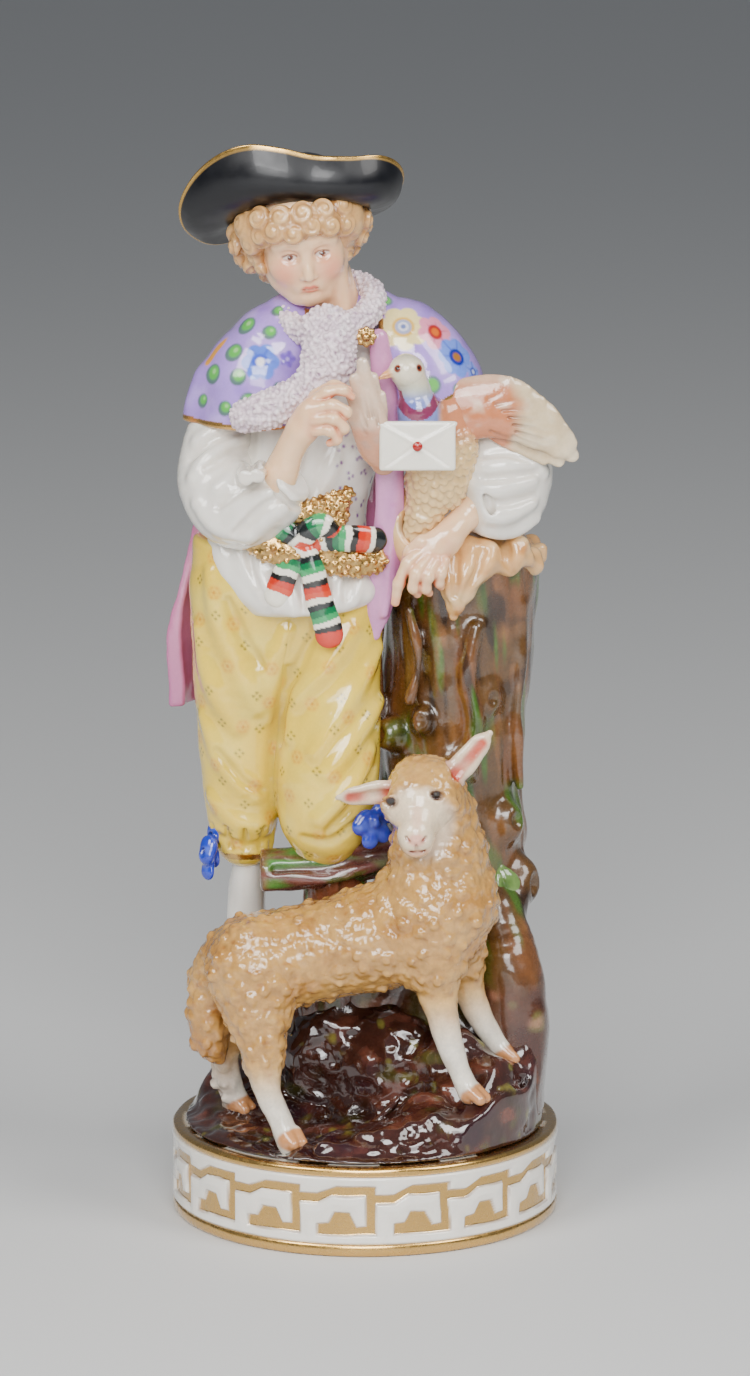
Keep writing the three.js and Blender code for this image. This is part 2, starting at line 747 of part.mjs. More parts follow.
const letterMiddle = V(12.5, -19, shoulderLevel - 20);
fit("letter", white, (grow) =>
  slab(letterMiddle, [LETTER_WIDTH, LETTER_THICKNESS, LETTER_HEIGHT], { grow, turn: [-6, 0, 0] }),
);
fit("seal", sealing, (grow) =>
  egg(letterMiddle.clone().add(V(0, -LETTER_THICKNESS / 2 - 0.2, 0)), [1.2, 0.9, 1.2], { grow }),
);

// ---------------------------------------------------------------- lamb
const alongY = V(0, 1, 0);
fit("lamb_body", fleece, (grow) =>
  join(
    limb(
      [
        at(-27, -17, lambLevel - 4, LAMB_GIRTH - 3, LAMB_GIRTH - 2),
        at(-10, -19, lambLevel, LAMB_GIRTH - 1, LAMB_GIRTH),
        at(8, -20, lambLevel + 6, LAMB_GIRTH, LAMB_GIRTH + 2),
        at(20, -20, lambLevel + 10, LAMB_GIRTH - 2, LAMB_GIRTH),
      ],
      { grow, across: alongY, sides: 12 },
    ),
    limb([at(18, -20, lambLevel + 16, 12.5), at(16, -22, lambLevel + 34, 10.5)], { grow, sides: 12 }),
  ),
);
fit("lamb_head", face, (grow) =>
  limb(
    [
      at(14, -25, lambLevel + 40, 8.5, 8),
      at(13, -31, lambLevel + 35, 6.2, 6),
      at(12.5, -36, lambLevel + 31, 3.8, 3.6),
    ],
    { grow },
  ),
);
const ear = (base, tip) => (grow) =>
  limb([at(...base, 2.2, 1.4), at(...base.map((v, k) => (v + tip[k]) / 2), 3.4, 1.6), at(...tip, 1.4, 1)], {
    grow,
    across: V(0, 0, 1),
    sides: 8,
    steps: 1,
  });
fit("lamb_ear_right", face, ear([7, -27, lambLevel + 40], [-5, -28, lambLevel + 40]));
fit("lamb_ear_left", face, ear([20, -26, lambLevel + 43], [29, -25, lambLevel + 52.5]));

// A leg runs from a point on the lamb's trunk, over its joint, to a hoof standing on the ground.
function lambLeg(name, hip, hipRadius, joint, jointRadius, hoof) {
  const stand = groundAt(hoof.x, hoof.y);
  fit(name, fleece, (grow) =>
    limb(
      [
        at(...hip, hipRadius),
        at(...joint, jointRadius),
        at((joint[0] + hoof.x) / 2, (joint[1] + hoof.y) / 2, (joint[2] + stand) / 2, LAMB_SHANK),
        at(hoof.x, hoof.y, stand + 1.5, LAMB_SHANK),
      ],
      { grow, sides: 9 },
    ),
  );
}
const hindFar = { x: -31, y: -5 };
const foreNear = { x: 27, y: -30 };
const foreFar = { x: 35, y: -13 };
lambLeg("lamb_leg_hind_right", [-26, -24, lambLevel - 11], 7, [-24, -29, lambLevel - 28], 4, hindNear);
lambLeg("lamb_leg_hind_left", [-31, -11, lambLevel - 13], 6, [-34, -8, lambLevel - 27], 3.6, hindFar);
lambLeg("lamb_leg_fore_right", [17, -26, lambLevel - 6], 5, [20, -28, lambLevel - 20], 3.4, foreNear);
lambLeg("lamb_leg_fore_left", [24, -14, lambLevel - 6], 5, [28, -13, lambLevel - 18], 3.2, foreFar);
fit("lamb_tail", fleece, (grow) =>
  limb(
    [at(-36, -16, lambLevel - 3, 4.5), at(-39, -17, lambLevel - 13, 5), at(-38, -16, lambLevel - 24, 4)],
    { grow },
  ),
);

export default figurine;
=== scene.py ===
"""A porcelain shepherd group in Blender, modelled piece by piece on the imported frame.

Each piece is modelled in a grid of signed distances, in millimetres, and turned into a closed mesh.
Its paint is laid on the mesh's points, and its material adds the glaze."""
import math
import bpy
import numpy as np
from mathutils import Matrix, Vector


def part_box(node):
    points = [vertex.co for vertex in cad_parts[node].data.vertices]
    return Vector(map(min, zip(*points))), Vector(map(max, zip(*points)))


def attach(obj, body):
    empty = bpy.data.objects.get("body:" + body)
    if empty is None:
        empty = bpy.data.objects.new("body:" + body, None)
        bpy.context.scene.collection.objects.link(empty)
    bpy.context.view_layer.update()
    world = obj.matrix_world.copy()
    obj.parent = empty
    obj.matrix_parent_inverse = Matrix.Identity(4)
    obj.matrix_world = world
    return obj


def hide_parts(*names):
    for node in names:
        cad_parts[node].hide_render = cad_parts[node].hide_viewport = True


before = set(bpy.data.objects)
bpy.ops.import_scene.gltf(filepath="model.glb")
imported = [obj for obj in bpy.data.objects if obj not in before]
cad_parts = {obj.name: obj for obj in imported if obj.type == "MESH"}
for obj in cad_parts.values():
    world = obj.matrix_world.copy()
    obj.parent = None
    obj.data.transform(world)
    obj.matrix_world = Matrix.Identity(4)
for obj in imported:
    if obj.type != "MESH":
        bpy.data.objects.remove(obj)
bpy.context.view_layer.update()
MM = 0.001
F32 = np.float32
WHITE = "#efece6"
GOLD = "#ddc085"
FLESH = "#f7dbbc"
# painted flowers: petals, their shade, the ring round the eye, the eye
BLUE_FLOWER = ("#7d97dd", "#4a5fb4", "#5a72c8", "#f4f1f6")
ROSE_FLOWER = ("#e3a8bc", "#b9607c", "#a83f3a", "#d98a3a")
FAR_OUTSIDE = 6.0  # mm: a clay grid's distance before anything is added
STEP_LIMIT = 0.35  # of a cell: how far a vertex may move towards the surface at once
STRIPE_WIDTH = 1.45  # mm, on the sash
LAMB_LEVEL = 69.7  # mm: the height that the lamb is laid out from
PHOTO_HEIGHT = 1376  # pixels, as the camera is framed
FOCAL_LENGTH = 5860  # in the same pixels
CAMERA_DISTANCE = 1.4  # m
CAMERA_PITCH = 16.3  # degrees down to the figurine
AIM_HEIGHT = 0.130  # m


def by_quality(full):
    """A grid pitch or a count, returned as given: the full one."""
    return full


def frame_box(node):
    """A node's lowest and highest corners, in millimetres."""
    low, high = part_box(node)
    return np.array(low) / MM, np.array(high) / MM


def middle_of(node):
    low, high = frame_box(node)
    return (low + high) / 2


def unit(v):
    v = np.asarray(v, float)
    return v / max(np.linalg.norm(v), 1e-9)


def frame_for(normal, hint=(0.0, 0.0, 1.0)):
    """Rows: two tangents and the normal."""
    n = unit(normal)
    t = np.cross(hint, n)
    if np.linalg.norm(t) < 1e-3:
        t = np.cross((1.0, 0.0, 0.0), n)
    t = unit(t)
    return np.array([t, np.cross(n, t), n])


def turn(x=0.0, y=0.0, z=0.0):
    """Rotation matrix for angles in degrees, about X first, then Y, then Z."""
    a, b, c = np.radians([x, y, z])
    rx = np.array([[1, 0, 0], [0, math.cos(a), -math.sin(a)], [0, math.sin(a), math.cos(a)]])
    ry = np.array([[math.cos(b), 0, math.sin(b)], [0, 1, 0], [-math.sin(b), 0, math.cos(b)]])
    rz = np.array([[math.cos(c), -math.sin(c), 0], [math.sin(c), math.cos(c), 0], [0, 0, 1]])
    return rz @ ry @ rx


def unit_rows(A):
    return A / np.maximum(np.linalg.norm(A, axis=-1, keepdims=True), 1e-9)


def round_about(m, angle):
    """The direction at an angle in the plane of a frame's two tangents."""
    return math.cos(angle) * m[0] + math.sin(angle) * m[1]


def smooth_min(a, b, k):
    """The smaller of two distances, blended over k."""
    if k <= 0:
        return np.minimum(a, b)
    h = np.maximum(k - np.abs(a - b), 0) / k
    return np.minimum(a, b) - h * h * (k * 0.25)


def smooth_max(a, b, k):
    """The larger of two distances, blended over k."""
    return -smooth_min(-a, -b, k)


# ---- primitives: each has low, high corners and at(X, Y, Z)
class Egg:
    """An ellipsoid. rot's columns are its own axes."""

    def __init__(self, centre, radii, rot=None):
        self.c = np.asarray(centre, float)
        self.r = np.broadcast_to(np.asarray(radii, float), 3).astype(float)
        self.rot = np.eye(3) if rot is None else np.asarray(rot)
        reach = np.sqrt(((self.rot * self.r) ** 2).sum(1))
        self.low, self.high = self.c - reach, self.c + reach

    def at(self, X, Y, Z):
        x, y, z = X - F32(self.c[0]), Y - F32(self.c[1]), Z - F32(self.c[2])
        m = self.rot
        u = [F32(m[0, i]) * x + F32(m[1, i]) * y + F32(m[2, i]) * z for i in range(3)]
        k0 = sum((u[i] / F32(self.r[i])) ** 2 for i in range(3))
        k1 = sum((u[i] / F32(self.r[i] ** 2)) ** 2 for i in range(3))
        k0 = np.sqrt(k0)
        return k0 * (k0 - 1) / np.maximum(np.sqrt(k1), F32(1e-6))


class Block:
    """A box with rounded edges, given by its half sizes."""

    def __init__(self, centre, half, rot=None, round=0.3):
        self.c = np.asarray(centre, float)
        self.h = np.asarray(half, float) - round
        self.rot = np.eye(3) if rot is None else np.asarray(rot)
        self.round = round
        reach = np.abs(self.rot) @ np.asarray(half, float)
        self.low, self.high = self.c - reach, self.c + reach

    def at(self, X, Y, Z):
        x, y, z = X - F32(self.c[0]), Y - F32(self.c[1]), Z - F32(self.c[2])
        m = self.rot
        q = [np.abs(F32(m[0, i]) * x + F32(m[1, i]) * y + F32(m[2,
            i]) * z) - F32(self.h[i]) for i in range(3)]
        out = np.sqrt(sum(np.maximum(v, 0) ** 2 for v in q))
        return out + np.minimum(np.maximum(np.maximum(q[0], q[1]), q[2]), 0) - F32(self.round)


class Ring:
    """A torus, its section thick wide and tall high."""

    def __init__(self, centre, radius, thick, rot=None, tall=None):
        self.c = np.asarray(centre, float)
        self.R, self.t = radius, thick
        self.tall = tall or thick
        self.rot = np.eye(3) if rot is None else np.asarray(rot)
        reach = np.full(3, radius + max(thick, self.tall))
        self.low, self.high = self.c - reach, self.c + reach

    def at(self, X, Y, Z):
        x, y, z = X - F32(self.c[0]), Y - F32(self.c[1]), Z - F32(self.c[2])
        m = self.rot
        u = [F32(m[0, i]) * x + F32(m[1, i]) * y + F32(m[2, i]) * z for i in range(3)]
        side = np.sqrt(u[0] ** 2 + u[1] ** 2) - F32(self.R)
        return (np.sqrt((side / F32(self.t)) ** 2 + (u[2] / F32(self.tall)) ** 2) - 1) * F32(min(self.t,
            self.tall))


class Limb:
    """A round cone chain. stations: (x, y, z, radius[, flat]); flat below 1 thins it along face."""

    def __init__(self, stations, face=(0, 1, 0), spline=True, steps=5):
        pts = np.array([s[:3] for s in stations], float)
        rad = np.array([s[3] for s in stations], float)
        flat = np.array([s[4] if len(s) > 4 else 1.0 for s in stations], float)
        if spline and len(pts) > 2:
            pts, rad, flat = resample(pts, rad, flat, steps)
        self.p, self.r, self.f = pts, rad, flat
        self.face = unit(face)
        R = rad[:, None]
        self.low, self.high = (pts - R).min(0), (pts + R).max(0)

    def at(self, X, Y, Z):
        best = None
        n = self.face
        for a, b, ra, rb, fa, fb in zip(self.p[:-1], self.p[1:], self.r[:-1], self.r[1:], self.f[:-1],
            self.f[1:]):
            ab = b - a
            L = max(float(ab @ ab), 1e-9)
            x, y, z = X - F32(a[0]), Y - F32(a[1]), Z - F32(a[2])
            t = np.clip((x * F32(ab[0]) + y * F32(ab[1]) + z * F32(ab[2])) / F32(L), 0, 1)
            dx, dy, dz = x - t * F32(ab[0]), y - t * F32(ab[1]), z - t * F32(ab[2])
            if fa == 1 and fb == 1:
                d = np.sqrt(dx * dx + dy * dy + dz * dz) - (F32(ra) + t * F32(rb - ra))
            else:
                f = F32(fa) + t * F32(fb - fa)
                along = dx * F32(n[0]) + dy * F32(n[1]) + dz * F32(n[2])
                side2 = dx * dx + dy * dy + dz * dz - along * along
                R = F32(ra) + t * F32(rb - ra)
                q = np.sqrt(np.maximum(side2, 0) + (along / f) ** 2)
                # scaled distance, kept near a true one by the local stretch
                g = np.sqrt(np.maximum(side2, 0) + (along / (f * f)) ** 2) / np.maximum(q, F32(1e-5))
                d = (q - R) / np.maximum(g, 1)
            best = d if best is None else np.minimum(best, d)
        return best


def catmull_rom(p0, p1, p2, p3, t):
    """The curve's point at t, from p1 at 0 to p2 at 1."""
    square = 2 * p0 - 5 * p1 + 4 * p2 - p3
    cube = 3 * p1 - p0 - 3 * p2 + p3
    return 0.5 * (2 * p1 + (p2 - p0) * t + square * t * t + cube * t ** 3)


def resample(pts, rad, flat, steps):
    """A Catmull-Rom curve through the stations, with radii and flatness eased between them."""
    n = len(pts)
    P = np.vstack([2 * pts[0] - pts[1], pts, 2 * pts[-1] - pts[-2]])
    out, r, f = [], [], []
    for i in range(n - 1):
        p0, p1, p2, p3 = P[i : i + 4]
        for s in range(steps):
            t = s / steps
            u = t * t * (3 - 2 * t)
            out.append(catmull_rom(p0, p1, p2, p3, t))
            r.append(rad[i] + (rad[i + 1] - rad[i]) * u)
            f.append(flat[i] + (flat[i + 1] - flat[i]) * u)
    out.append(pts[-1])
    r.append(rad[-1])
    f.append(flat[-1])
    return np.array(out), np.array(r), np.array(f)


# ---- the grid of clay
class Clay:
    """A grid of signed distances, negative inside. step is its pitch in mm."""

    def __init__(self, low, high, step):
        self.h = float(step)
        lo = np.floor(np.asarray(low, float) / step) - 3
        hi = np.ceil(np.asarray(high, float) / step) + 3
        self.i0 = lo.astype(int)
        self.shape = tuple((hi - lo).astype(int) + 1)
        self.low = lo * step
        self.F = np.full(self.shape, F32(FAR_OUTSIDE), F32)
        self.axes = [(self.low[k] + np.arange(self.shape[k]) * step).astype(F32) for k in range(3)]

    def window(self, low, high, margin):
        lo = np.floor((np.asarray(low) - margin - self.low) / self.h).astype(int)
        hi = np.ceil((np.asarray(high) + margin - self.low) / self.h).astype(int) + 1
        lo = np.clip(lo, 0, self.shape)
        hi = np.clip(hi, 0, self.shape)
        if (hi <= lo).any():
            return None
        sl = tuple(slice(a, b) for a, b in zip(lo, hi))
        X = self.axes[0][sl[0]][:, None, None]
        Y = self.axes[1][sl[1]][None, :, None]
        Z = self.axes[2][sl[2]][None, None, :]
        return sl, X, Y, Z

    def add(self, prim, k=0.0, grow=0.0):
        w = self.window(prim.low - grow, prim.high + grow, k + 2.2)
        if w:
            sl, X, Y, Z = w
            self.F[sl] = smooth_min(self.F[sl], (prim.at(X, Y, Z) - F32(grow)).astype(F32), F32(k))
        return self

    def cut(self, prim, k=0.0, grow=0.0):
        w = self.window(prim.low - grow, prim.high + grow, k + 2.2)
        if w:
            sl, X, Y, Z = w
            self.F[sl] = smooth_max(self.F[sl], (F32(grow) - prim.at(X, Y, Z)).astype(F32), F32(k))
        return self

    def add_all(self, prims, k=0.0):
        for prim in prims:
            self.add(prim, k)

    def stud(self, points, normals, radii, lift, k):
        """Presses a ball onto the surface at each point."""
        for p, n, r in zip(points, normals, radii):
            self.add(Egg(p + n * lift, (r, r, r)), k)

    def trim(self, side, k):
        """Removes what lies where side, a field over the grid, is above zero."""
        self.F = smooth_max(self.F, side.astype(F32), F32(k)).astype(F32)

    def grid(self):
        return self.axes[0][:, None, None], self.axes[1][None, :, None], self.axes[2][None, None, :]

    def push(self, amount, reach=2.5):
        """Moves the surface out by amount, a field over the grid, fading with distance from it."""
        near = np.clip(1 - (np.abs(self.F) - F32(reach)) / F32(reach), 0, 1)
        self.F = (self.F - amount * near).astype(F32)
        return self

    def sample(self, P):
        """Trilinear samples of the field at points P (n, 3)."""
        G = self.F
        q = (np.asarray(P) - self.low) / self.h
        q = np.clip(q, 0, np.array(self.shape) - 1.001)
        i = q.astype(int)
        f = (q - i).astype(F32)
        x, y, z = i[:, 0], i[:, 1], i[:, 2]
        fx, fy, fz = f[:, 0], f[:, 1], f[:, 2]
        c00 = G[x, y, z] * (1 - fx) + G[x + 1, y, z] * fx
        c10 = G[x, y + 1, z] * (1 - fx) + G[x + 1, y + 1, z] * fx
        c01 = G[x, y, z + 1] * (1 - fx) + G[x + 1, y, z + 1] * fx
        c11 = G[x, y + 1, z + 1] * (1 - fx) + G[x + 1, y + 1, z + 1] * fx
        c0 = c00 * (1 - fy) + c10 * fy
        c1 = c01 * (1 - fy) + c11 * fy
        return c0 * (1 - fz) + c1 * fz

    def gradient(self, P):
        d = self.h * 0.75
        g = np.empty((len(P), 3), F32)
        for k in range(3):
            e = np.eye(3)[k] * d
            g[:, k] = self.sample(P + e) - self.sample(P - e)
        return g / np.maximum(np.linalg.norm(g, axis=1, keepdims=True), 1e-6)

    def land(self, points, direction, start=30.0, step=0.3):
        """Marches each point back by start along direction, then forward to the surface."""
        d = unit(direction)
        P = np.atleast_2d(np.asarray(points, float)) - d * start
        hit = np.zeros(len(P), bool)
        out = P.copy()
        for _ in range(int(2 * start / step)):
            f = self.sample(P)
            new = (f < 0) & ~hit
            out[new] = P[new]
            hit |= new
            if hit.all():
                break
            P = P + d * step
        return out

    def specks(self, spacing, seed, where=None):
        """Points spread over the surface about spacing apart, with outward normals."""
        rng = np.random.default_rng(seed)
        band = np.argwhere(np.abs(self.F) < self.h * 0.9)
        rng.shuffle(band)
        P = self.low + band * self.h
        if where is not None:
            P = P[where(P)]
        cell = {}
        keep = []
        s = spacing
        keys = np.floor(P / s).astype(int)
        for p, key in zip(P, map(tuple, keys)):
            near = False
            for dx in (-1, 0, 1):
                for dy in (-1, 0, 1):
                    for dz in (-1, 0, 1):
                        for q in cell.get((key[0] + dx, key[1] + dy, key[2] + dz), ()):
                            if (p - q) @ (p - q) < s * s:
                                near = True
                                break
                        if near: break
                    if near: break
                if near: break
            if not near:
                cell.setdefault(key, []).append(p)
                keep.append(p)
        keep = np.array(keep)
        n = self.gradient(keep)
        keep = keep - n * self.sample(keep)[:, None]
        return keep, n

    def tidy(self):
        """Makes the sign pattern well composed, so the mesh has no edge shared by four faces."""
        F = self.F
        F[np.abs(F) < 1e-4] = F32(1e-4)
        for _ in range(12):
            inside = F < 0
            changed = 0
            for ax, bx in ((0, 1), (0, 2), (1, 2)):
                def shifted(a, i, j):
                    s = [slice(None)] * 3
                    s[ax] = slice(i, a.shape[ax] - 1 + i)
                    s[bx] = slice(j, a.shape[bx] - 1 + j)
                    return tuple(s)
                a, b = inside[shifted(F, 0, 0)], inside[shifted(F, 1, 1)]
                c, d = inside[shifted(F, 1, 0)], inside[shifted(F, 0, 1)]
                bad = (a & b & ~c & ~d) | (~a & ~b & c & d)
                idx = np.argwhere(bad)
                if len(idx) == 0:
                    continue
                changed += len(idx)
                e1, e2 = np.eye(3, dtype=int)[[ax, bx]]
                corners = [idx, idx + e1 + e2, idx + e1, idx + e2]
                vals = np.stack([F[tuple(q.T)] for q in corners], 1)
                vals = np.where(vals > 0, vals, 1e9)
                pick = vals.argmin(1)
                for m in range(4):
                    q = corners[m][pick == m]
                    F[tuple(q.T)] = F32(-1e-3)
                inside = F < 0
            # opposite corners of a cell
            c = {}
            for i in (0, 1):
                for j in (0, 1):
                    for k in (0, 1):
                        c[i, j, k] = inside[i : F.shape[0] - 1 + i, j : F.shape[1] - 1 + j,
                            k : F.shape[2] - 1 + k]
            count = sum(v.astype(np.int8) for v in c.values())
            for i, j, k in ((0, 0, 0), (0, 0, 1), (0, 1, 0), (1, 0, 0)):
                pair = c[i, j, k] & c[1 - i, 1 - j, 1 - k]
                pairo = ~c[i, j, k] & ~c[1 - i, 1 - j, 1 - k]
                bad = (pair & (count == 2)) | (pairo & (count == 6))
                idx = np.argwhere(bad)
                if len(idx):
                    changed += len(idx)
                    for di in (0, 1):
                        q = idx + [di, j, k]
                        F[tuple(q.T)] = np.minimum(F[tuple(q.T)], F32(-1e-3))
            if not changed:
                break
        return self

    def rim(self):
        """The grid's outer layers are outside, so that the surface closes."""
        for k in range(3):
            s = [slice(None)] * 3
            s[k] = slice(0, 2)
            self.F[tuple(s)] = np.maximum(self.F[tuple(s)], F32(self.h))
            s[k] = slice(-2, None)
            self.F[tuple(s)] = np.maximum(self.F[tuple(s)], F32(self.h))

    def surface(self):
        """Surface nets: vertices (n, 3) and quads (m, 4), closed and facing out."""
        self.rim()
        self.tidy()
        F = self.F
        inside = F < 0
        nx, ny, nz = F.shape
        c = [inside[i : nx - 1 + i, j : ny - 1 + j, k : nz - 1 + k] for i in (0, 1) for j in (0,
            1) for k in (0, 1)]
        count = sum(v.astype(np.int8) for v in c)
        active = np.argwhere((count > 0) & (count < 8))
        index = np.full((nx - 1, ny - 1, nz - 1), -1, np.int32)
        index[tuple(active.T)] = np.arange(len(active))
        offs = np.array([(i, j, k) for i in (0, 1) for j in (0, 1) for k in (0, 1)])
        vals = np.stack([F[tuple((active + o).T)] for o in offs], 1)
        total = np.zeros((len(active), 3))
        number = np.zeros(len(active))
        for a in range(8):
            for b in range(a + 1, 8):
                if np.abs(offs[a] - offs[b]).sum() != 1:
                    continue
                fa, fb = vals[:, a], vals[:, b]
                cross = (fa < 0) != (fb < 0)
                t = np.where(cross, fa / np.where(cross, fa - fb, 1), 0)
                pos = offs[a] + t[:, None] * (offs[b] - offs[a])
                total += pos * cross[:, None]
                number += cross
        V = self.low + (active + total / number[:, None]) * self.h
        quads = []
        for ax in range(3):
            s0 = [slice(1, -1)] * 3
            s1 = [slice(1, -1)] * 3
            s0[ax] = slice(0, -1)
            s1[ax] = slice(1, None)
            A, B = inside[tuple(s0)], inside[tuple(s1)]
            base = np.ones(3, int)
            base[ax] = 0
            u, v = (ax + 1) % 3, (ax + 2) % 3
            eu, ev = np.eye(3, dtype=int)[[u, v]]
            for mask, flip in ((A & ~B, False), (~A & B, True)):
                e = np.argwhere(mask) + base
                q = np.stack([index[tuple((e - eu - ev).T)], index[tuple((e - ev).T)], index[tuple(e.T)],
                    index[tuple((e - eu).T)]], 1)
                quads.append(q[:, ::-1] if flip else q)
        Q = np.vstack(quads)
        # each vertex is moved twice towards the true surface, by a limited step
        d = self.h * 0.5
        for _ in range(2):
            g = np.empty_like(V, dtype=F32)
            for k in range(3):
                e = np.eye(3)[k] * d
                g[:, k] = (self.sample(V + e) - self.sample(V - e)) / (2 * d)
            f = self.sample(V)
            step = -f[:, None] * g / np.maximum((g * g).sum(1), 0.05)[:, None]
            length = np.linalg.norm(step, axis=1, keepdims=True)
            V = V + step * np.minimum(1, STEP_LIMIT * self.h / np.maximum(length, 1e-9))
        return V, Q


# ---- noise
def hashed(ix, iy, iz, seed):
    """A fixed number in -1..1 for each grid point: an integer hash with large odd multipliers."""
    h = np.uint32(seed * 974711 + 12345)
    for i, multiplier in ((ix, 374761393), (iy, 668265263), (iz, 2147483647)):
        h = h + i.astype(np.uint32) * np.uint32(multiplier)
    h = (h ^ (h >> np.uint32(13))) * np.uint32(1274126177)
    h = h ^ (h >> np.uint32(16))
    return (h & np.uint32(0xFFFFFF)).astype(F32) / F32(0xFFFFFF) * 2 - 1


def noise(X, Y, Z, scale, seed=0):
    """Smooth value noise in -1..1; scale is the cell size in mm, one number or three."""
    sx, sy, sz = np.broadcast_to(np.asarray(scale, float), 3)
    x, y, z = np.broadcast_arrays(X / F32(sx), Y / F32(sy), Z / F32(sz))
    ix, iy, iz = np.floor(x), np.floor(y), np.floor(z)
    fx, fy, fz = x - ix, y - iy, z - iz
    ix, iy, iz = ix.astype(np.int32), iy.astype(np.int32), iz.astype(np.int32)
    fx, fy, fz = (f * f * (3 - 2 * f) for f in (fx, fy, fz))
    out = 0
    for dx in (0, 1):
        wx = fx if dx else 1 - fx
        for dy in (0, 1):
            wy = fy if dy else 1 - fy
            for dz in (0, 1):
                wz = fz if dz else 1 - fz
                out = out + wx * wy * wz * hashed(ix + dx, iy + dy, iz + dz, seed)
    return out.astype(F32)


def turbulence(X, Y, Z, scale, octaves=3, seed=0):
    """Octaves of noise, each half the size and half the height of the one before."""
    out, amp = 0, 1.0
    s = np.asarray(np.broadcast_to(scale, 3), float)
    for o in range(octaves):
        out = out + F32(amp) * noise(X, Y, Z, s / 2 ** o, seed + o * 17)
        amp *= 0.5
    return out


# ---------------------------------------------------------------- skins: painted meshes
def linear(colour):
    """A hex colour or an sRGB triple as linear numbers."""
    if isinstance(colour, str):
        colour = [int(colour[k : k + 2], 16) / 255 for k in (1, 3, 5)]
    c = np.asarray(colour, float)
    c = np.where(c <= 0.04045, c / 12.92, ((c + 0.055) / 1.055) ** 2.4)
    top = max(c.max(), 1e-6)
    return top * (c / top) ** 1.6  # fired enamel: a little deeper than the plain colour


def ease(x, low, high):
    """0 up to low, 1 from high, smooth between."""
    t = np.clip((x - low) / (high - low), 0, 1)
    return t * t * (3 - 2 * t)


class Skin:
    """A mesh's points, normals and paint. Lengths in mm."""

    def __init__(self, V, Q, colour, clay=None):
        self.V, self.Q = V, Q
        a, b, c, d = (V[Q[:, k]] for k in range(4))
        faces = np.cross(c - a, d - b)
        N = np.zeros_like(V)
        for k in range(4):
            for axis in range(3):
                N[:, axis] += np.bincount(Q[:, k], faces[:, axis], len(V))
        self.N = N / np.maximum(np.linalg.norm(N, axis=1, keepdims=True), 1e-9)
        self.C = np.tile(linear(colour), (len(V), 1))
        self.gilt = np.zeros(len(V))
        self.pit = np.zeros(len(V))
        # pit: how deep each point lies in a hollow; the material and several paints below darken by it, as
        # glaze pooling and painted shade
        if clay is not None:
            for d in (0.7, 1.6):
                self.pit += np.clip(1 - clay.sample(V + self.N * d) / d, 0, 1) * 0.5

    def mix(self, share, colour):
        share = np.clip(share, 0, 1)[:, None]
        self.C = self.C * (1 - share) + linear(colour) * share
        return self

    def mottle(self, colour, scale, seed, low, high, share=1.0, octaves=2, sign=1):
        """Soft patches of colour, where noise of this scale rises from low to high."""
        patches = ease(sign * turbulence(*self.V.T, scale, octaves, seed), low, high)
        return self.mix(patches * share, colour)

    def gold(self, share):
        share = np.clip(share, 0, 1)
        self.mix(share, GOLD)
        self.gilt = np.maximum(self.gilt, share)

    def away(self, point):
        return np.linalg.norm(self.V - np.asarray(point, float), axis=1)

    def dab(self, point, radius, colour, soft=0.25, strength=1.0):
        return self.mix((1 - ease(self.away(point), radius - soft, radius + soft)) * strength, colour)

    def stroke(self, points, radius, colour=None, soft=0.2, gold=False, strength=1.0):
        """A painted line through points, within radius of it."""
        P = np.asarray(points, float)
        best = np.full(len(self.V), 1e9)
        for a, b in zip(P[:-1], P[1:]):
            ab = b - a
            t = np.clip((self.V - a) @ ab / max(ab @ ab, 1e-9), 0, 1)
            best = np.minimum(best, np.linalg.norm(self.V - a - t[:, None] * ab, axis=1))
        share = (1 - ease(best, radius - soft, radius + soft)) * strength
        if gold:
            self.gold(share)
        else:
            self.mix(share, colour)
        return self

    def front(self, x, z):
        """The nearest surface point to the viewer's side at (x, z)."""
        d2 = (self.V[:, 0] - x) ** 2 + (self.V[:, 2] - z) ** 2
        facing = self.N @ np.array((0, -1, 0), float)
        near = np.where(facing > 0.05, d2 + 0.002 * (self.V[:, 1] + 60), 1e6)
        k = int(np.argmin(near))
        return self.V[k].copy(), self.N[k].copy()


def body_of(V, Q):
    """The largest connected body of a mesh."""
    label = np.arange(len(V))
    while True:
        low = label[Q].min(1)
        new = label.copy()
        for k in range(4):
            np.minimum.at(new, Q[:, k], low)
        new = new[new]
        if (new == label).all():
            break
        label = new
    names, counts = np.unique(label, return_counts=True)
    keep = label == names[counts.argmax()]
    renumber = np.cumsum(keep) - 1
    return V[keep], renumber[Q[keep[Q[:, 0]]]]


def skin_of(clay, colour, pooled_and_shaded_by=None, whole=False):
    """The painted skin of a clay's largest body, or of the whole clay.

    The third argument is the clay whose hollows gather the glaze and the painted shade, if it isn't the same
    one."""
    V, Q = clay.surface()
    if not whole:
        V, Q = body_of(V, Q)
    return Skin(V, Q, colour, clay if pooled_and_shaded_by is None else pooled_and_shaded_by)


def principled(material):
    """Empties a material's tree and gives it one shader: its nodes, links and shader."""
    material.use_nodes = True
    tree = material.node_tree
    tree.nodes.clear()
    out = tree.nodes.new("ShaderNodeOutputMaterial")
    shader = tree.nodes.new("ShaderNodeBsdfPrincipled")
    tree.links.new(shader.outputs[0], out.inputs[0])
    return tree.nodes, tree.links, shader


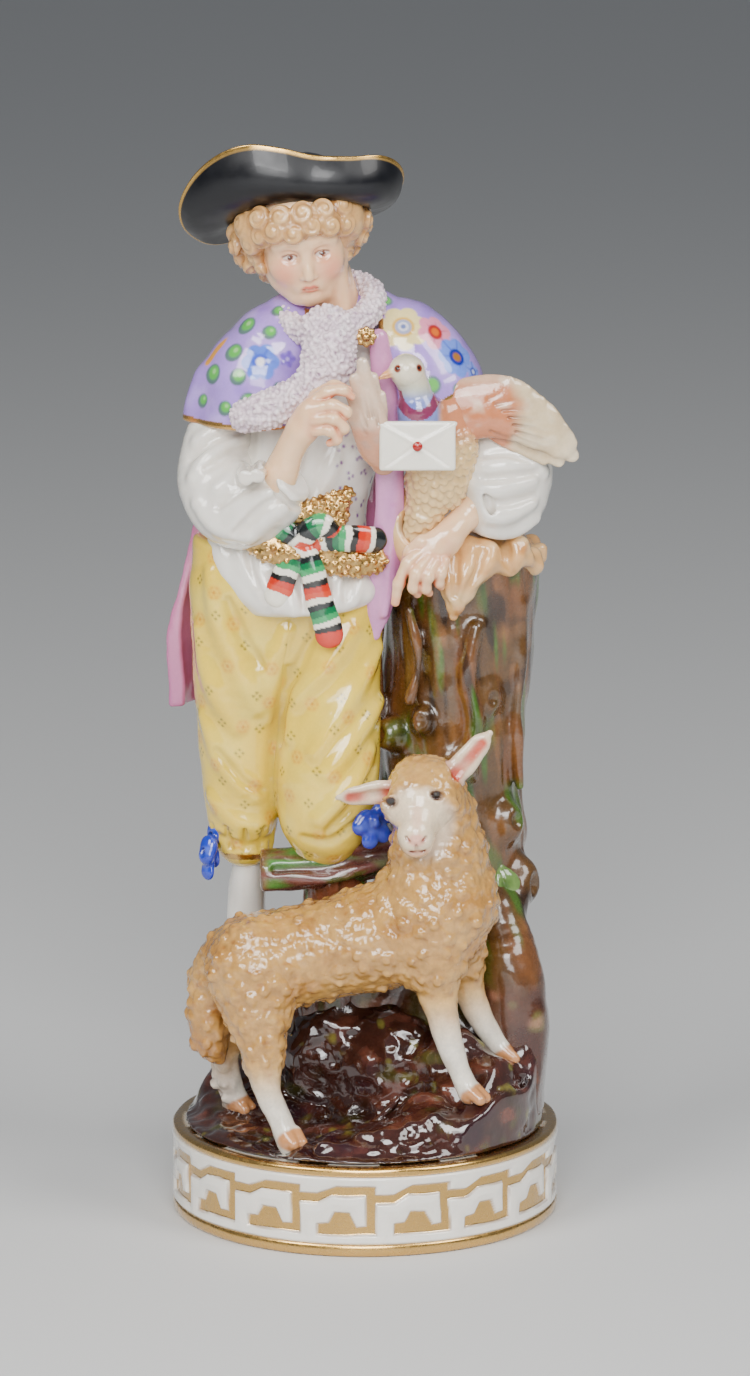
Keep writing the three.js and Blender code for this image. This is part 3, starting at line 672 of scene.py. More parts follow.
def ceramic(name, rough=0.14, coat=1.0, ripple=0.1, ripple_size=4.0, grain=0.05, grain_size=0.7,
            pool_and_shade_colour="#5b3a22", pool_and_shade_strength=0.45, tint=0.06, tint_size=7.0, flesh=0.0, patina=0.5):
    """Glazed, painted porcelain: the paint, thinned glaze, glaze pooled in the hollows together with painted
    shade there, brush grain and ripple.
    """
    material = bpy.data.materials.new(name)
    nodes, links, shader = principled(material)
    place = nodes.new("ShaderNodeTexCoord").outputs["Object"]

    def attribute(which, output):
        node = nodes.new("ShaderNodeAttribute")
        node.attribute_name = which
        return node.outputs[output]

    def noise_at(size, detail):
        node = nodes.new("ShaderNodeTexNoise")
        node.inputs["Scale"].default_value = 1 / (size * MM)
        node.inputs["Detail"].default_value = detail
        links.new(place, node.inputs["Vector"])
        return node.outputs["Fac"]

    def spread(value, low, high):
        """Noise, which runs from about 0.3 to 0.7, spread from low to high."""
        node = nodes.new("ShaderNodeMapRange")
        links.new(value, node.inputs["Value"])
        for key, number in (("From Min", 0.3), ("From Max", 0.7), ("To Min", low), ("To Max", high)):
            node.inputs[key].default_value = number
        return node.outputs[0]

    def scaled(vector, value):
        node = nodes.new("ShaderNodeVectorMath")
        node.operation = "SCALE"
        links.new(vector, node.inputs[0])
        links.new(value, node.inputs["Scale"])
        return node.outputs[0]

    def sums(operation, a, b):
        node = nodes.new("ShaderNodeMath")
        node.operation = operation
        for socket, value in zip(node.inputs, (a, b)):
            if isinstance(value, (int, float)):
                socket.default_value = value
            else:
                links.new(value, socket)
        return node.outputs[0]

    colour = scaled(attribute("paint", "Color"), spread(noise_at(tint_size, 3), 1 - tint, 1 + tint))
    colour = scaled(colour, spread(noise_at(grain_size, 2), 1 - tint * 0.6, 1 + tint * 0.5))
    # darker where the pit attribute is high: glaze pooling together with painted shade in hollows and creases
    pooled_and_shaded = nodes.new("ShaderNodeMix")
    pooled_and_shaded.data_type, pooled_and_shaded.blend_type = "RGBA", "MULTIPLY"
    links.new(sums("MULTIPLY", attribute("pit", "Fac"), pool_and_shade_strength), pooled_and_shaded.inputs["Factor"])
    links.new(colour, pooled_and_shaded.inputs["A"])
    pooled_and_shaded.inputs["B"].default_value = (*linear(pool_and_shade_colour), 1)
    links.new(pooled_and_shaded.outputs["Result"], shader.inputs["Base Color"])

    gilt = attribute("gilt", "Fac")
    links.new(gilt, shader.inputs["Metallic"])
    gloss = spread(noise_at(ripple_size * 0.6, 3), rough - 0.04, rough + 0.08)
    worn = spread(noise_at(1.6, 4), 0.2, 0.2 + 0.25 * patina)
    blend = nodes.new("ShaderNodeMix")
    links.new(gilt, blend.inputs["Factor"])
    links.new(gloss, blend.inputs["A"])
    links.new(worn, blend.inputs["B"])
    links.new(blend.outputs["Result"], shader.inputs["Roughness"])

    coarse = nodes.new("ShaderNodeBump")
    coarse.inputs["Strength"].default_value = ripple
    coarse.inputs["Distance"].default_value = 0.4 * MM
    links.new(noise_at(ripple_size, 2), coarse.inputs["Height"])
    fine = nodes.new("ShaderNodeBump")
    fine.inputs["Strength"].default_value = grain
    fine.inputs["Distance"].default_value = 0.12 * MM
    links.new(noise_at(grain_size, 3), fine.inputs["Height"])
    links.new(coarse.outputs[0], fine.inputs["Normal"])
    links.new(fine.outputs[0], shader.inputs["Normal"])
    links.new(coarse.outputs[0], shader.inputs["Coat Normal"])
    shader.inputs["Coat Weight"].default_value = coat
    shader.inputs["Coat Roughness"].default_value = 0.04
    shader.inputs["Coat IOR"].default_value = 1.5
    if flesh:
        shader.inputs["Subsurface Weight"].default_value = flesh
        shader.inputs["Subsurface Radius"].default_value = (1.0, 0.7, 0.5)
        shader.inputs["Subsurface Scale"].default_value = 1.2 * MM
    return material


def piece(name, skin, stands_for, material, crease=None):
    """Makes the Blender object of a skin, riding on the figurine's one body."""
    mesh = bpy.data.meshes.new(name)
    V = skin.V * MM
    mesh.vertices.add(len(V))
    mesh.vertices.foreach_set("co", V.astype(F32).ravel())
    mesh.loops.add(skin.Q.size)
    mesh.loops.foreach_set("vertex_index", skin.Q.astype(np.int32).ravel())
    mesh.polygons.add(len(skin.Q))
    mesh.polygons.foreach_set("loop_start", np.arange(0, skin.Q.size, 4, dtype=np.int32))
    mesh.update(calc_edges=True)
    mesh.polygons.foreach_set("use_smooth", np.ones(len(skin.Q), bool))
    paint = mesh.attributes.new("paint", "FLOAT_COLOR", "POINT")
    paint.data.foreach_set("color", np.c_[skin.C, np.ones(len(V))].astype(F32).ravel())
    for key, values in (("gilt", skin.gilt), ("pit", skin.pit)):
        layer = mesh.attributes.new(key, "FLOAT", "POINT")
        layer.data.foreach_set("value", values.astype(F32))
    mesh.validate()
    made = bpy.data.objects.new(name, mesh)
    bpy.context.collection.objects.link(made)
    mesh.materials.append(MATERIAL[material])
    if crease:
        mesh.set_sharp_from_angle(angle=math.radians(crease))
    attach(made, "root")
    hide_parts(*stands_for)
    return made


# ---------------------------------------------------------------- plinth and meander band
def lathe(profile, columns, lift=None):
    """A closed mesh from an (r, z) profile on the axis at both ends, running up from the underside."""
    P = np.asarray(profile, float)
    rings = P[1:-1]
    angle = np.arange(columns) * 2 * math.pi / columns
    R = np.repeat(rings[:, :1], columns, 1)
    Z = np.repeat(rings[:, 1:], columns, 1)
    if lift is not None:
        R, Z = lift(R, Z, angle[None, :])
    V = np.stack([R * np.sin(angle), -R * np.cos(angle), Z], -1).reshape(-1, 3)
    rows = len(rings)
    i = np.arange(rows - 1)[:, None] * columns
    j = np.arange(columns)[None, :]
    k = (j + 1) % columns
    Q = np.stack([i + j, i + k, i + columns + k, i + columns + j], -1).reshape(-1, 4)
    # each end is closed by quads that meet in a point on the axis
    caps = []
    for ring, point, out in ((0, P[0], False), (rows - 1, P[-1], True)):
        start = len(V)
        V = np.vstack([V, [0, 0, point[1]]])
        a = ring * columns + np.arange(0, columns, 2)
        b = ring * columns + np.arange(1, columns, 2)
        c = ring * columns + (np.arange(2, columns + 2, 2) % columns)
        fan = np.stack([np.full(len(a), start), a, b, c], 1)
        caps.append(fan if out else fan[:, ::-1])
    return V, np.vstack([Q, *caps])


def polygon_distance(x, y, corners):
    """Signed distance to a closed polygon, negative inside."""
    best = np.full(np.broadcast(x, y).shape, 1e9)
    inside = np.zeros(best.shape, bool)
    for (ax, ay), (bx, by) in zip(corners, corners[1:] + corners[:1]):
        ex, ey = bx - ax, by - ay
        px, py = x - ax, y - ay
        t = np.clip((px * ex + py * ey) / (ex * ex + ey * ey), 0, 1)
        best = np.minimum(best, (px - t * ex) ** 2 + (py - t * ey) ** 2)
        crosses = (ay <= y) != (by <= y)
        side = ex * py - ey * px
        inside ^= crosses & ((side > 0) == (by > ay))
    return np.where(inside, -1, 1) * np.sqrt(best)


REPEATS = 16
KEY = [(-0.05, 13.2), (0.25, 13.2), (0.44, 15.1), (0.885, 15.1), (0.885, 7.5), (0.75, 7.3), (0.66, 10.9),
       (0.465, 11.0), (0.38, 8.3), (0.24, 8.0), (0.235, 5.5), (1.0, 5.5), (1.0, 13.2), (1.05, 13.2),
       (1.05, 15.3), (1.0, 15.3), (1.0, 17.3), (0.5, 17.3), (0.25, 15.3), (-0.05, 15.3)]
KEY_PHASE = math.radians(3.1)


def plinth():
    _, hi = frame_box("plinth")
    R, top = hi[0], hi[2]
    band_lo, band_hi = frame_box("meander_band")
    foot, head = band_lo[2], band_hi[2]
    bed = band_hi[0] - 2.0  # the groove that the band lies in
    columns = by_quality(512)
    profile = [(0, 1.3), (8, 1.3), (20, 1.3), (32, 1.3), (41, 1.3), (43, 1.0), (43.6, 0.15), (44, 0),
        (46.4, 0),
               (47.1, 0.2), (R - 0.05, 0.8), (R + 0.05, 1.7), (R, 2.5), (R - 0.25, foot - 0.25),
                   (R - 0.7, foot),
               (bed, foot), (bed, (foot + head) / 2), (bed, head), (R - 0.8, head), (R - 0.3, head + 0.2),
               (R, head + 0.7), (R + 0.05, head + 1.2), (R - 0.1, top - 0.45), (R - 0.5, top - 0.1),
               (R - 1.2, top + 0.05), (R - 2.2, top), (R - 3.6, top - 0.05), (36, top - 0.05),
                   (20, top - 0.05), (0, top - 0.05)]

    def lift(R_, Z, angle):
        x, y = R_ * np.sin(angle), -R_ * np.cos(angle)
        wave = noise(x, y, Z * 2, 9, 3) * 0.12
        outer = R_ > 45
        return np.where(outer, R_ + wave, R_), np.where(outer & (Z > 1) & (Z > head + 0.5), Z + wave, Z)

    V, Q = lathe(profile, columns, lift)
    skin = Skin(V, Q, WHITE)
    r = np.hypot(V[:, 0], V[:, 1])
    wobble = noise(*V.T, 6, 8) * 0.35
    rim = (V[:, 2] > head + 0.15) & (r > 43.9 + wobble)
    base = (V[:, 2] < foot - 0.05 + wobble * 0.3) & (V[:, 2] > 0.12) & (r > 46.2)
    skin.gold((rim | base).astype(float))
    skin.mix(((V[:, 2] < 0.1) & (r > 43.8)) * 0.8, "#cdbfa6")  # the unglazed foot ring
    piece("plinth_drum", skin, ["plinth"], "white", crease=50)

    # the band: its outer face carries the key in relief, with gold in the recess
    pitch = 2 * math.pi * band_hi[0] / REPEATS
    rows = by_quality(72)
    per = by_quality(64)
    corners = [(u * pitch, z) for u, z in KEY]
    heights = np.linspace(foot, head, rows)
    inner = [(bed + 0.12, z) for z in np.linspace(head, foot, 6)]
    ring = [(band_hi[0] - 0.4, z) for z in heights]
    loop = np.array(ring + inner)
    columns = REPEATS * per
    angle = np.arange(columns) * 2 * math.pi / columns
    A, Z = np.meshgrid(angle, loop[:, 1])
    rad = np.repeat(loop[:, :1], columns, 1)
    outside = np.arange(len(loop)) < rows
    u = ((A - KEY_PHASE) * band_hi[0]) % (2 * math.pi * band_hi[0])
    X, Y = rad * np.sin(A), -rad * np.cos(A)
    u = u + noise(X, Y, Z, 7, 21) * 0.35 + noise(X, Y, Z, 30, 5) * 0.5
    z = Z + noise(X, Y, Z, 5, 31) * 0.25
    u = u % pitch
    key = np.minimum.reduce([polygon_distance(u + shift * pitch, z, corners) for shift in (-1, 0, 1)])
    raised = ease(key, -0.1, 0.45)
    puffy = np.clip(key, 0, 2.0) * 0.12 + noise(X, Y, Z, 3.0, 44) * 0.06
    rad[outside] += (0.15 + 0.72 * raised + puffy - 0.12)[outside]
    edge = np.minimum(Z - foot, head - Z)
    rad[outside] -= ((1 - ease(edge, -0.05, 0.5)) * 0.35)[outside]
    V = np.stack([rad * np.sin(A), -rad * np.cos(A), Z], -1).reshape(-1, 3)
    n = len(loop)
    i = np.arange(n)[:, None]
    j = np.arange(columns)[None, :]
    i2, j2 = (i + 1) % n, (j + 1) % columns
    Q = np.stack([i * columns + j, i * columns + j2, i2 * columns + j2, i2 * columns + j], -1).reshape(-1,
        4)
    skin = Skin(V, Q, WHITE)
    recess = (1 - ease(key, -0.12, 0.12)) * outside[:, None]
    skin.gold(recess.ravel())
    # a dark brown line along the edges of the relief: painted shade at the recess
    line = np.exp(-((key - 0.22) / 0.16) ** 2) * outside[:, None] * ease(noise(X, Y, Z, 4, 71), -0.5, 0.6)
    skin.mix(line.ravel() * 0.55 * (1 - skin.gilt), "#6b3e1c")
    piece("meander_relief", skin, ["meander_band"], "white")


# ---------------------------------------------------------------- ground, rocks and trunk
def rocky(X, Y, Z, seed, size):
    """Ridged noise, for broken stone."""
    a = 1 - np.abs(turbulence(X, Y, Z, size, 3, seed))
    return a - 0.55


def ground():
    step = by_quality(0.55)
    clay = Clay((-45, -45.4, 22), (45.4, 45, 64), step)
    X, Y, Z = clay.grid()
    r = np.sqrt(X * X + Y * Y)
    edge = ease(44.6 - r, 0, 5)

    def hill(x, y, wide, deep):
        return np.exp(-(((X - x) / wide) ** 2) - ((Y - y) / deep) ** 2)

    rise = 13 * hill(-28, 11, 14, 13) + 17 * hill(16, 13, 30, 20) + 19 * hill(32, -20, 13, 13)
    rise = rise + 5.0 * hill(12, -35, 9, 5) + 3.0 * hill(-6, -38, 8, 4) + 4 * hill(-9, 32, 10,
        8) + 4.5 * hill(24, -38, 6, 4)
    rise = rise + 7 * hill(14, -24, 10, 9) + 2 * hill(-34, -22, 7, 6)
    top = 23.1 + rise * edge
    clay.F = ((Z - top) * F32(0.75)).astype(F32)
    # the dark rock behind the lamb's legs
    for c, s, rot in (((-5, 2, 38), (15, 9, 17), 15), ((8, -6, 34), (14, 9, 16), -10),
        ((4, 6, 50), (11, 8, 9), 0),
                      ((22, -14, 36), (9, 8, 12), 10), ((-16, 6, 33), (9, 8, 13), -20),
                          ((38, -9, 32), (6.5, 8, 14), 0),
                      ((33, -24, 30), (8.5, 10, 6.0), 0), ((27, -31, 27), (9, 7, 5), 0),
                          ((6, -33, 26), (7, 5, 3.6), 20),
                      ((16, -30, 28.5), (6, 5, 4.2), -20), ((-5, -32, 24), (8, 4.5, 2.6), 10)):
        clay.add(Egg(c, s, turn(0, 0, rot)), 4)
    # worked folds and knobs in the rock
    for path in ([(2, -36, 25, .9), (8, -39, 25, 1.1), (15, -38, 26, 1.0), (20, -34, 29, .8)],
                 [(12, -31, 31, .8), (17, -34, 30, 1.1), (23, -35, 28, 1.2), (29, -34, 28, .9)],
                 [(9, -28, 31, .9), (14, -27, 34, 1.2), (20, -29, 33, .9)],
                 [(-14, -36, 24, .7), (-6, -38, 24.5, 1.0), (2, -40, 24.4, .8)],
                 [(36, -27, 30, 1.0), (40, -18, 34, 1.3), (41, -9, 38, 1.0)],
                 [(-2, -30, 26, .8), (3, -27, 29, 1.1), (8, -24, 33, .9)]):
        clay.add(Limb(path), 1.4)
    clay.cut(Limb([(10, -35, 29, .8), (14, -36, 28.5, 1.2), (18, -33, 30.5, .9)]), 1.0)
    clay.push(rocky(X, Y, Z, 4, 11) * 1.5 * ease(44.5 - r, 0.3, 4) + turbulence(X, Y, Z, 3.4, 2, 9) * 0.35,
        3)
    side = np.sqrt(X * X + Y * Y) - F32(44.4) + noise(X, Y, Z * 0 + 1, 6, 12) * 0.5
    clay.trim(side, 0.9)
    clay.trim(F32(22.15) - Z, 0.3)
    skin = skin_of(clay, "#3a2621", whole=True)
    V = skin.V
    n = turbulence(*V.T, (7, 7, 5), 3, 2)
    skin.mix(ease(n, 0.1, 0.9) * 0.75, "#6b4a3f")
    skin.mottle("#4b4a2c", 6, 14, 0.35, 0.9, 0.8)
    skin.mottle("#2b1a24", 9, 33, 0.3, 0.9, 0.7, sign=-1)
    # upward-facing rock lighter: painted light on the tops
    skin.mix(ease(skin.N[:, 2] * 0.5 + turbulence(*V.T, 5, 2, 55) * 0.5, 0.55, 1.0) * 0.5, "#8a6456")
    skin.mottle("#7d7a48", 4, 77, 0.55, 1.0, 0.7)
    piece("rocky_ground", skin, ["ground", "stone_left", "stone_middle", "stone_back"], "earth")


def bark_push(clay, seed, amount=1.0, centre=(22, 13)):
    """Ridges and lumps of bark, running up round an axis at centre."""
    X, Y, Z = clay.grid()
    angle = np.arctan2(Y - F32(centre[1]), X - F32(centre[0])) * F32(18)
    twist = angle + Z * F32(0.12)
    ridge = 1 - np.abs(noise(np.cos(twist / 18) * 18, np.sin(twist / 18) * 18, Z, (4.2, 4.2, 34), seed))
    fine = noise(np.cos(twist / 18) * 18, np.sin(twist / 18) * 18, Z, (1.5, 1.5, 9), seed + 3)
    lump = turbulence(X, Y, Z, 13, 2, seed + 5)
    clay.push((ridge - 0.6) * 0.8 * amount + fine * 0.12 * amount + lump * 0.8 * amount, 3)


def paint_bark(skin, centre=(22, 13)):
    """Streaks of brown, black and green that follow the bark's ridges."""
    V = skin.V
    angle = np.arctan2(V[:, 1] - centre[1], V[:, 0] - centre[0])
    twist = angle + V[:, 2] * 0.0067
    cx, cy = np.cos(twist) * 18, np.sin(twist) * 18
    streak = turbulence(cx, cy, V[:, 2], (3.0, 3.0, 22), 3, 61)
    skin.mix(ease(streak, -0.1, 0.9) * 0.8, "#75563a")
    skin.mix(ease(turbulence(cx, cy, V[:, 2], (2.2, 2.2, 15), 2, 12), 0.25, 0.8) * 0.85, "#22170c")
    skin.mix(ease(turbulence(cx, cy, V[:, 2], (2.8, 2.8, 20), 2, 88), 0.1, 0.6) * 0.85, "#4e6a32")
    skin.mix(ease(turbulence(cx, cy, V[:, 2], (3.2, 3.2, 12), 2, 119), 0.45, 0.95) * 0.6, "#8d6d4a")
    skin.mottle("#241408", 7, 140, 0.45, 0.95, 0.6)


def trunk():
    step = by_quality(0.55)
    clay = Clay((-8, -14, 26), (47, 37, 163.5), step)
    stations = [(19, 10, 22, 24.5), (20, 11, 40, 20.5), (21, 11.5, 56, 17.6), (20.5, 12, 70, 15.8),
        (20.5, 12.5, 80, 17.6),
                (21, 13, 95, 18.3), (21, 13, 114, 18.0), (22, 13, 130, 17.8), (23.5, 13, 146, 18.2),
                    (24, 13, 164, 18.6)]
    clay.add(Limb(stations), 0)
    X, Y, Z = clay.grid()
    # knots and hollows of the bark
    knots = [(6, -1, 119, 3.4), (14, -5, 123, 2.6), (23, -5.5, 111, 3.2), (9, -3, 105, 3.0),
        (35, 1, 97, 3.6),
             (38, 5, 80, 5.0), (30, -2, 128, 2.6), (18, 31, 110, 4.0), (36, 24, 132, 3.2), (6, 22, 90, 4.0),
                 (25, -4, 92, 3)]
    for x, y, z, r in knots:
        clay.add(Egg((x, y, z), (r, r, r * 1.25)), 3.5)
    for x, y, z, r in knots:
        out = unit((x - 21, y - 13, 0))
        clay.cut(Egg(np.array([x, y, z]) + out * r * 1.0, (r * 0.45, r * 0.45, r * 0.6)), 1.2)
    for path, r in ((((11, -4, 150), (13, -5, 138), (11, -5, 128)), 1.3),
        (((27, -5, 146), (25, -6, 134), (27, -5, 122), (24, -5, 113)), 1.5),
                    (((37, 3, 150), (38, 2, 135), (37, 2, 120), (38, 3, 105)), 1.4),
                        (((4, 4, 150), (3.5, 5, 135), (3.5, 4, 122)), 1.2),
                    (((10, -4, 112), (8, -4, 100), (10, -3, 88)), 1.4),
                        (((20, 31, 150), (22, 31, 130), (19, 31, 112)), 1.6),
                    (((36, 24, 150), (37, 24, 120), (35, 23, 100)), 1.4)):
        clay.add(Limb([(*p, r) for p in path]), 2.0)
    # root flare on the viewer's right and towards the stump
    clay.add(Limb([(33, -1, 74, 6), (35, -5, 60, 8.2), (37, -6, 46, 8.6), (38.5, -7, 30, 8.5)]), 5)
    clay.add(Limb([(8, 4, 74, 6), (2, 3, 60, 8), (-4, 6, 44, 9), (-7, 8, 30, 10)]), 5)
    clay.add(Limb([(6, 22, 70, 6), (0, 26, 50, 8), (-4, 28, 30, 8)]), 5)
    bark_push(clay, 7)
    clay.trim(Z - F32(161.5), 1.5)
    clay.trim(F32(25) - Z, 0.3)
    r = np.sqrt(X * X + Y * Y)
    low = np.maximum(r - F32(44.3) - np.clip((Z - 30) * 0.1, 0, 3), -6)
    clay.trim(low, 1.0)
    skin = skin_of(clay, "#5a472c", whole=True)
    V = skin.V
    paint_bark(skin)
    deep = ease(64 - V[:, 2] + turbulence(*V.T, 6, 2, 9) * 5, 0, 10)
    skin.mix(deep * 0.72, "#4a2f28")
    skin.mix(deep * ease(turbulence(*V.T, 6, 2, 19), 0.3, 0.8) * 0.7, "#6c6a48")
    skin.mix(deep * ease(turbulence(*V.T, 7, 2, 29), 0.3, 0.8) * 0.5, "#b08a7a")
    piece("bark_trunk", skin, ["trunk", "trunk_root", "side_rock"], "bark")


def log_and_stump():
    step = by_quality(0.5)
    clay = Clay((-21, -13, 28), (12, 18, 96), step)
    clay.add(Limb([(-7, 9, 28, 11), (-8, 5, 46, 9), (-8, 3, 64, 8), (-7, -1, 82, 7.4), (-6, -1, 88, 5)]), 0)
    clay.add(Limb([(-14, 2, 50, 4), (-16, 4, 38, 5), (-17, 6, 28, 5)]), 3)
    bark_push(clay, 17, 0.8, (-7, 3))
    clay.trim(F32(27.5) - clay.grid()[2], 0.3)
    skin = skin_of(clay, "#7a5644", whole=True)
    V = skin.V
    paint_bark(skin, (-7, 3))
    skin.mix(ease(60 - V[:, 2], -4, 10) * 0.7, "#3b2620")
    piece("bark_stump", skin, ["stump"], "bark")

    clay = Clay((-28, -15, 76), (14, 6, 97), by_quality(0.42))
    clay.add(Limb([(-25.5, -5.5, 86, 5.0), (-18, -5.4, 86.2, 5.3), (-8, -4.8, 87, 5.4),
        (2, -2.5, 88.6, 5.0), (10, 0, 89.8, 4.6)]), 0)
    clay.add(Limb([(-24, -9, 84, 1.6), (-14, -10, 84.5, 1.6), (-4, -9.4, 85.6, 1.5), (6, -6, 88, 1.3)]), 2)
    clay.add(Limb([(-4, -7.5, 91.2, 1.4), (4, -5.5, 92.2, 1.7), (9, -5, 93, 1.8)]), 2)
    clay.cut(Limb([(-22, -10.5, 87, .8), (-10, -10.4, 87.8, .9), (0, -8.6, 89, .8)]), 1.4)
    X, Y, Z = clay.grid()
    clay.push(noise(X, Y, Z, (9, 2.2, 2.2), 5) * 0.55 + turbulence(X, Y, Z, 6, 2, 6) * 0.35, 3)
    clay.trim(F32(-25.6) - X, 1.2)
    skin = skin_of(clay, "#6a4c48", whole=True)
    V = skin.V
    skin.mottle("#5f8752", (11, 2.6, 2.6), 4, -0.2, 0.7)
    skin.mottle("#3f4a22", (7, 2.0, 2.0), 8, 0.25, 0.8, 0.8)
    skin.mix(ease(V[:, 0], -2, 8) * 0.75, "#7a5c63")
    skin.mix(ease(-V[:, 0], 22.6, 25) * 0.8, "#7d5c50")
    piece("kneeling_log_bark", skin, ["kneeling_log"], "bark")

    clay = Clay((24, -12, 66), (42, 6, 90), by_quality(0.4))
    c = middle_of("ivy_leaf")
    clay.add(Limb([(c[0] - 1, c[1] + 1, 70.2, 1.2, .5), (c[0] + 1.2, c[1] - 0.5, 75.5, 4.2, .35),
        (c[0] + 1.6, c[1] - 1, 80, 4.0, .35), (c[0] - 0.6, c[1], 86, 1.2, .5)], face=(0.35, -1, 0.1)), 0)
    clay.cut(Limb([(c[0] - 0.5, c[1] - 1.6, 71, .35), (c[0] + 1.6, c[1] - 3.0, 77, .5),
        (c[0], c[1] - 1.8, 85, .3)]), 0.6)
    skin = skin_of(clay, "#7b9060", whole=True)
    skin.mottle("#4d6239", (2, 2, 6), 4, 0, 0.8, 0.7)
    piece("ivy_leaf_moulded", skin, ["ivy_leaf"], "leaf")


# ---------------------------------------------------------------- the lamb
def curls(clay, spacing, radius, seed, where=None, height=0.55, sink=0.35):
    """Covers the surface with small curls: low domes with a spiral groove, each turned its own way."""
    P, N = clay.specks(spacing, seed, where=where)
    rng = np.random.default_rng(seed + 1)
    size = radius * rng.uniform(0.75, 1.2, len(P))
    phase = rng.uniform(0, 2 * math.pi, len(P))
    tall = rng.uniform(0.8, 1.2, len(P))
    hand = rng.choice([-1.0, 1.0], len(P))
    for p, n, r, a, t, s in zip(P, N, size, phase, tall, hand):
        w = clay.window(p - r * 1.2, p + r * 1.2, 0.3)
        if w is None:
            continue
        sl, X, Y, Z = w
        m = frame_for(n)
        x, y, z = X - F32(p[0]), Y - F32(p[1]), Z - F32(p[2])
        u = F32(m[0, 0]) * x + F32(m[0, 1]) * y + F32(m[0, 2]) * z
        v = F32(m[1, 0]) * x + F32(m[1, 1]) * y + F32(m[1, 2]) * z
        h = F32(m[2, 0]) * x + F32(m[2, 1]) * y + F32(m[2, 2]) * z
        q = np.sqrt(u * u + v * v) / F32(r)
        turnby = np.cos(np.arctan2(v, u) * F32(s) + q * 6.2 + F32(a))
        dome = np.sqrt((u * u + v * v) / F32(r * r) + ((h + F32(r * sink)) / F32(r * height * t * 1.6)) ** 2)
        body = (dome - 1) * F32(r * height) + (0.5 + 0.5 * turnby) * F32(0.13 * r) * np.clip(q * 2.2, 0, 1)
        clay.F[sl] = smooth_min(clay.F[sl], body.astype(F32), F32(0.42 * r))
    return clay


def split(clay, forms, names):
    """Fields of the pieces a modelled group is luted from: each takes the space nearest to its form."""
    X, Y, Z = clay.grid()
    fields = []
    for form in forms:
        best = None
        for prim in form:
            d = prim.at(X, Y, Z).astype(F32)
            best = d if best is None else np.minimum(best, d)
        fields.append(best)
    for k, name in enumerate(names):
        others = np.minimum.reduce([f for j, f in enumerate(fields) if j != k])
        part = Clay.__new__(Clay)
        part.__dict__.update(clay.__dict__)
        side = (fields[k] - others) * F32(0.5)
        part.F = np.maximum(clay.F + 0.2 * ease(side, -0.3, 0.6), side - 0.6).astype(F32)
        yield name, part


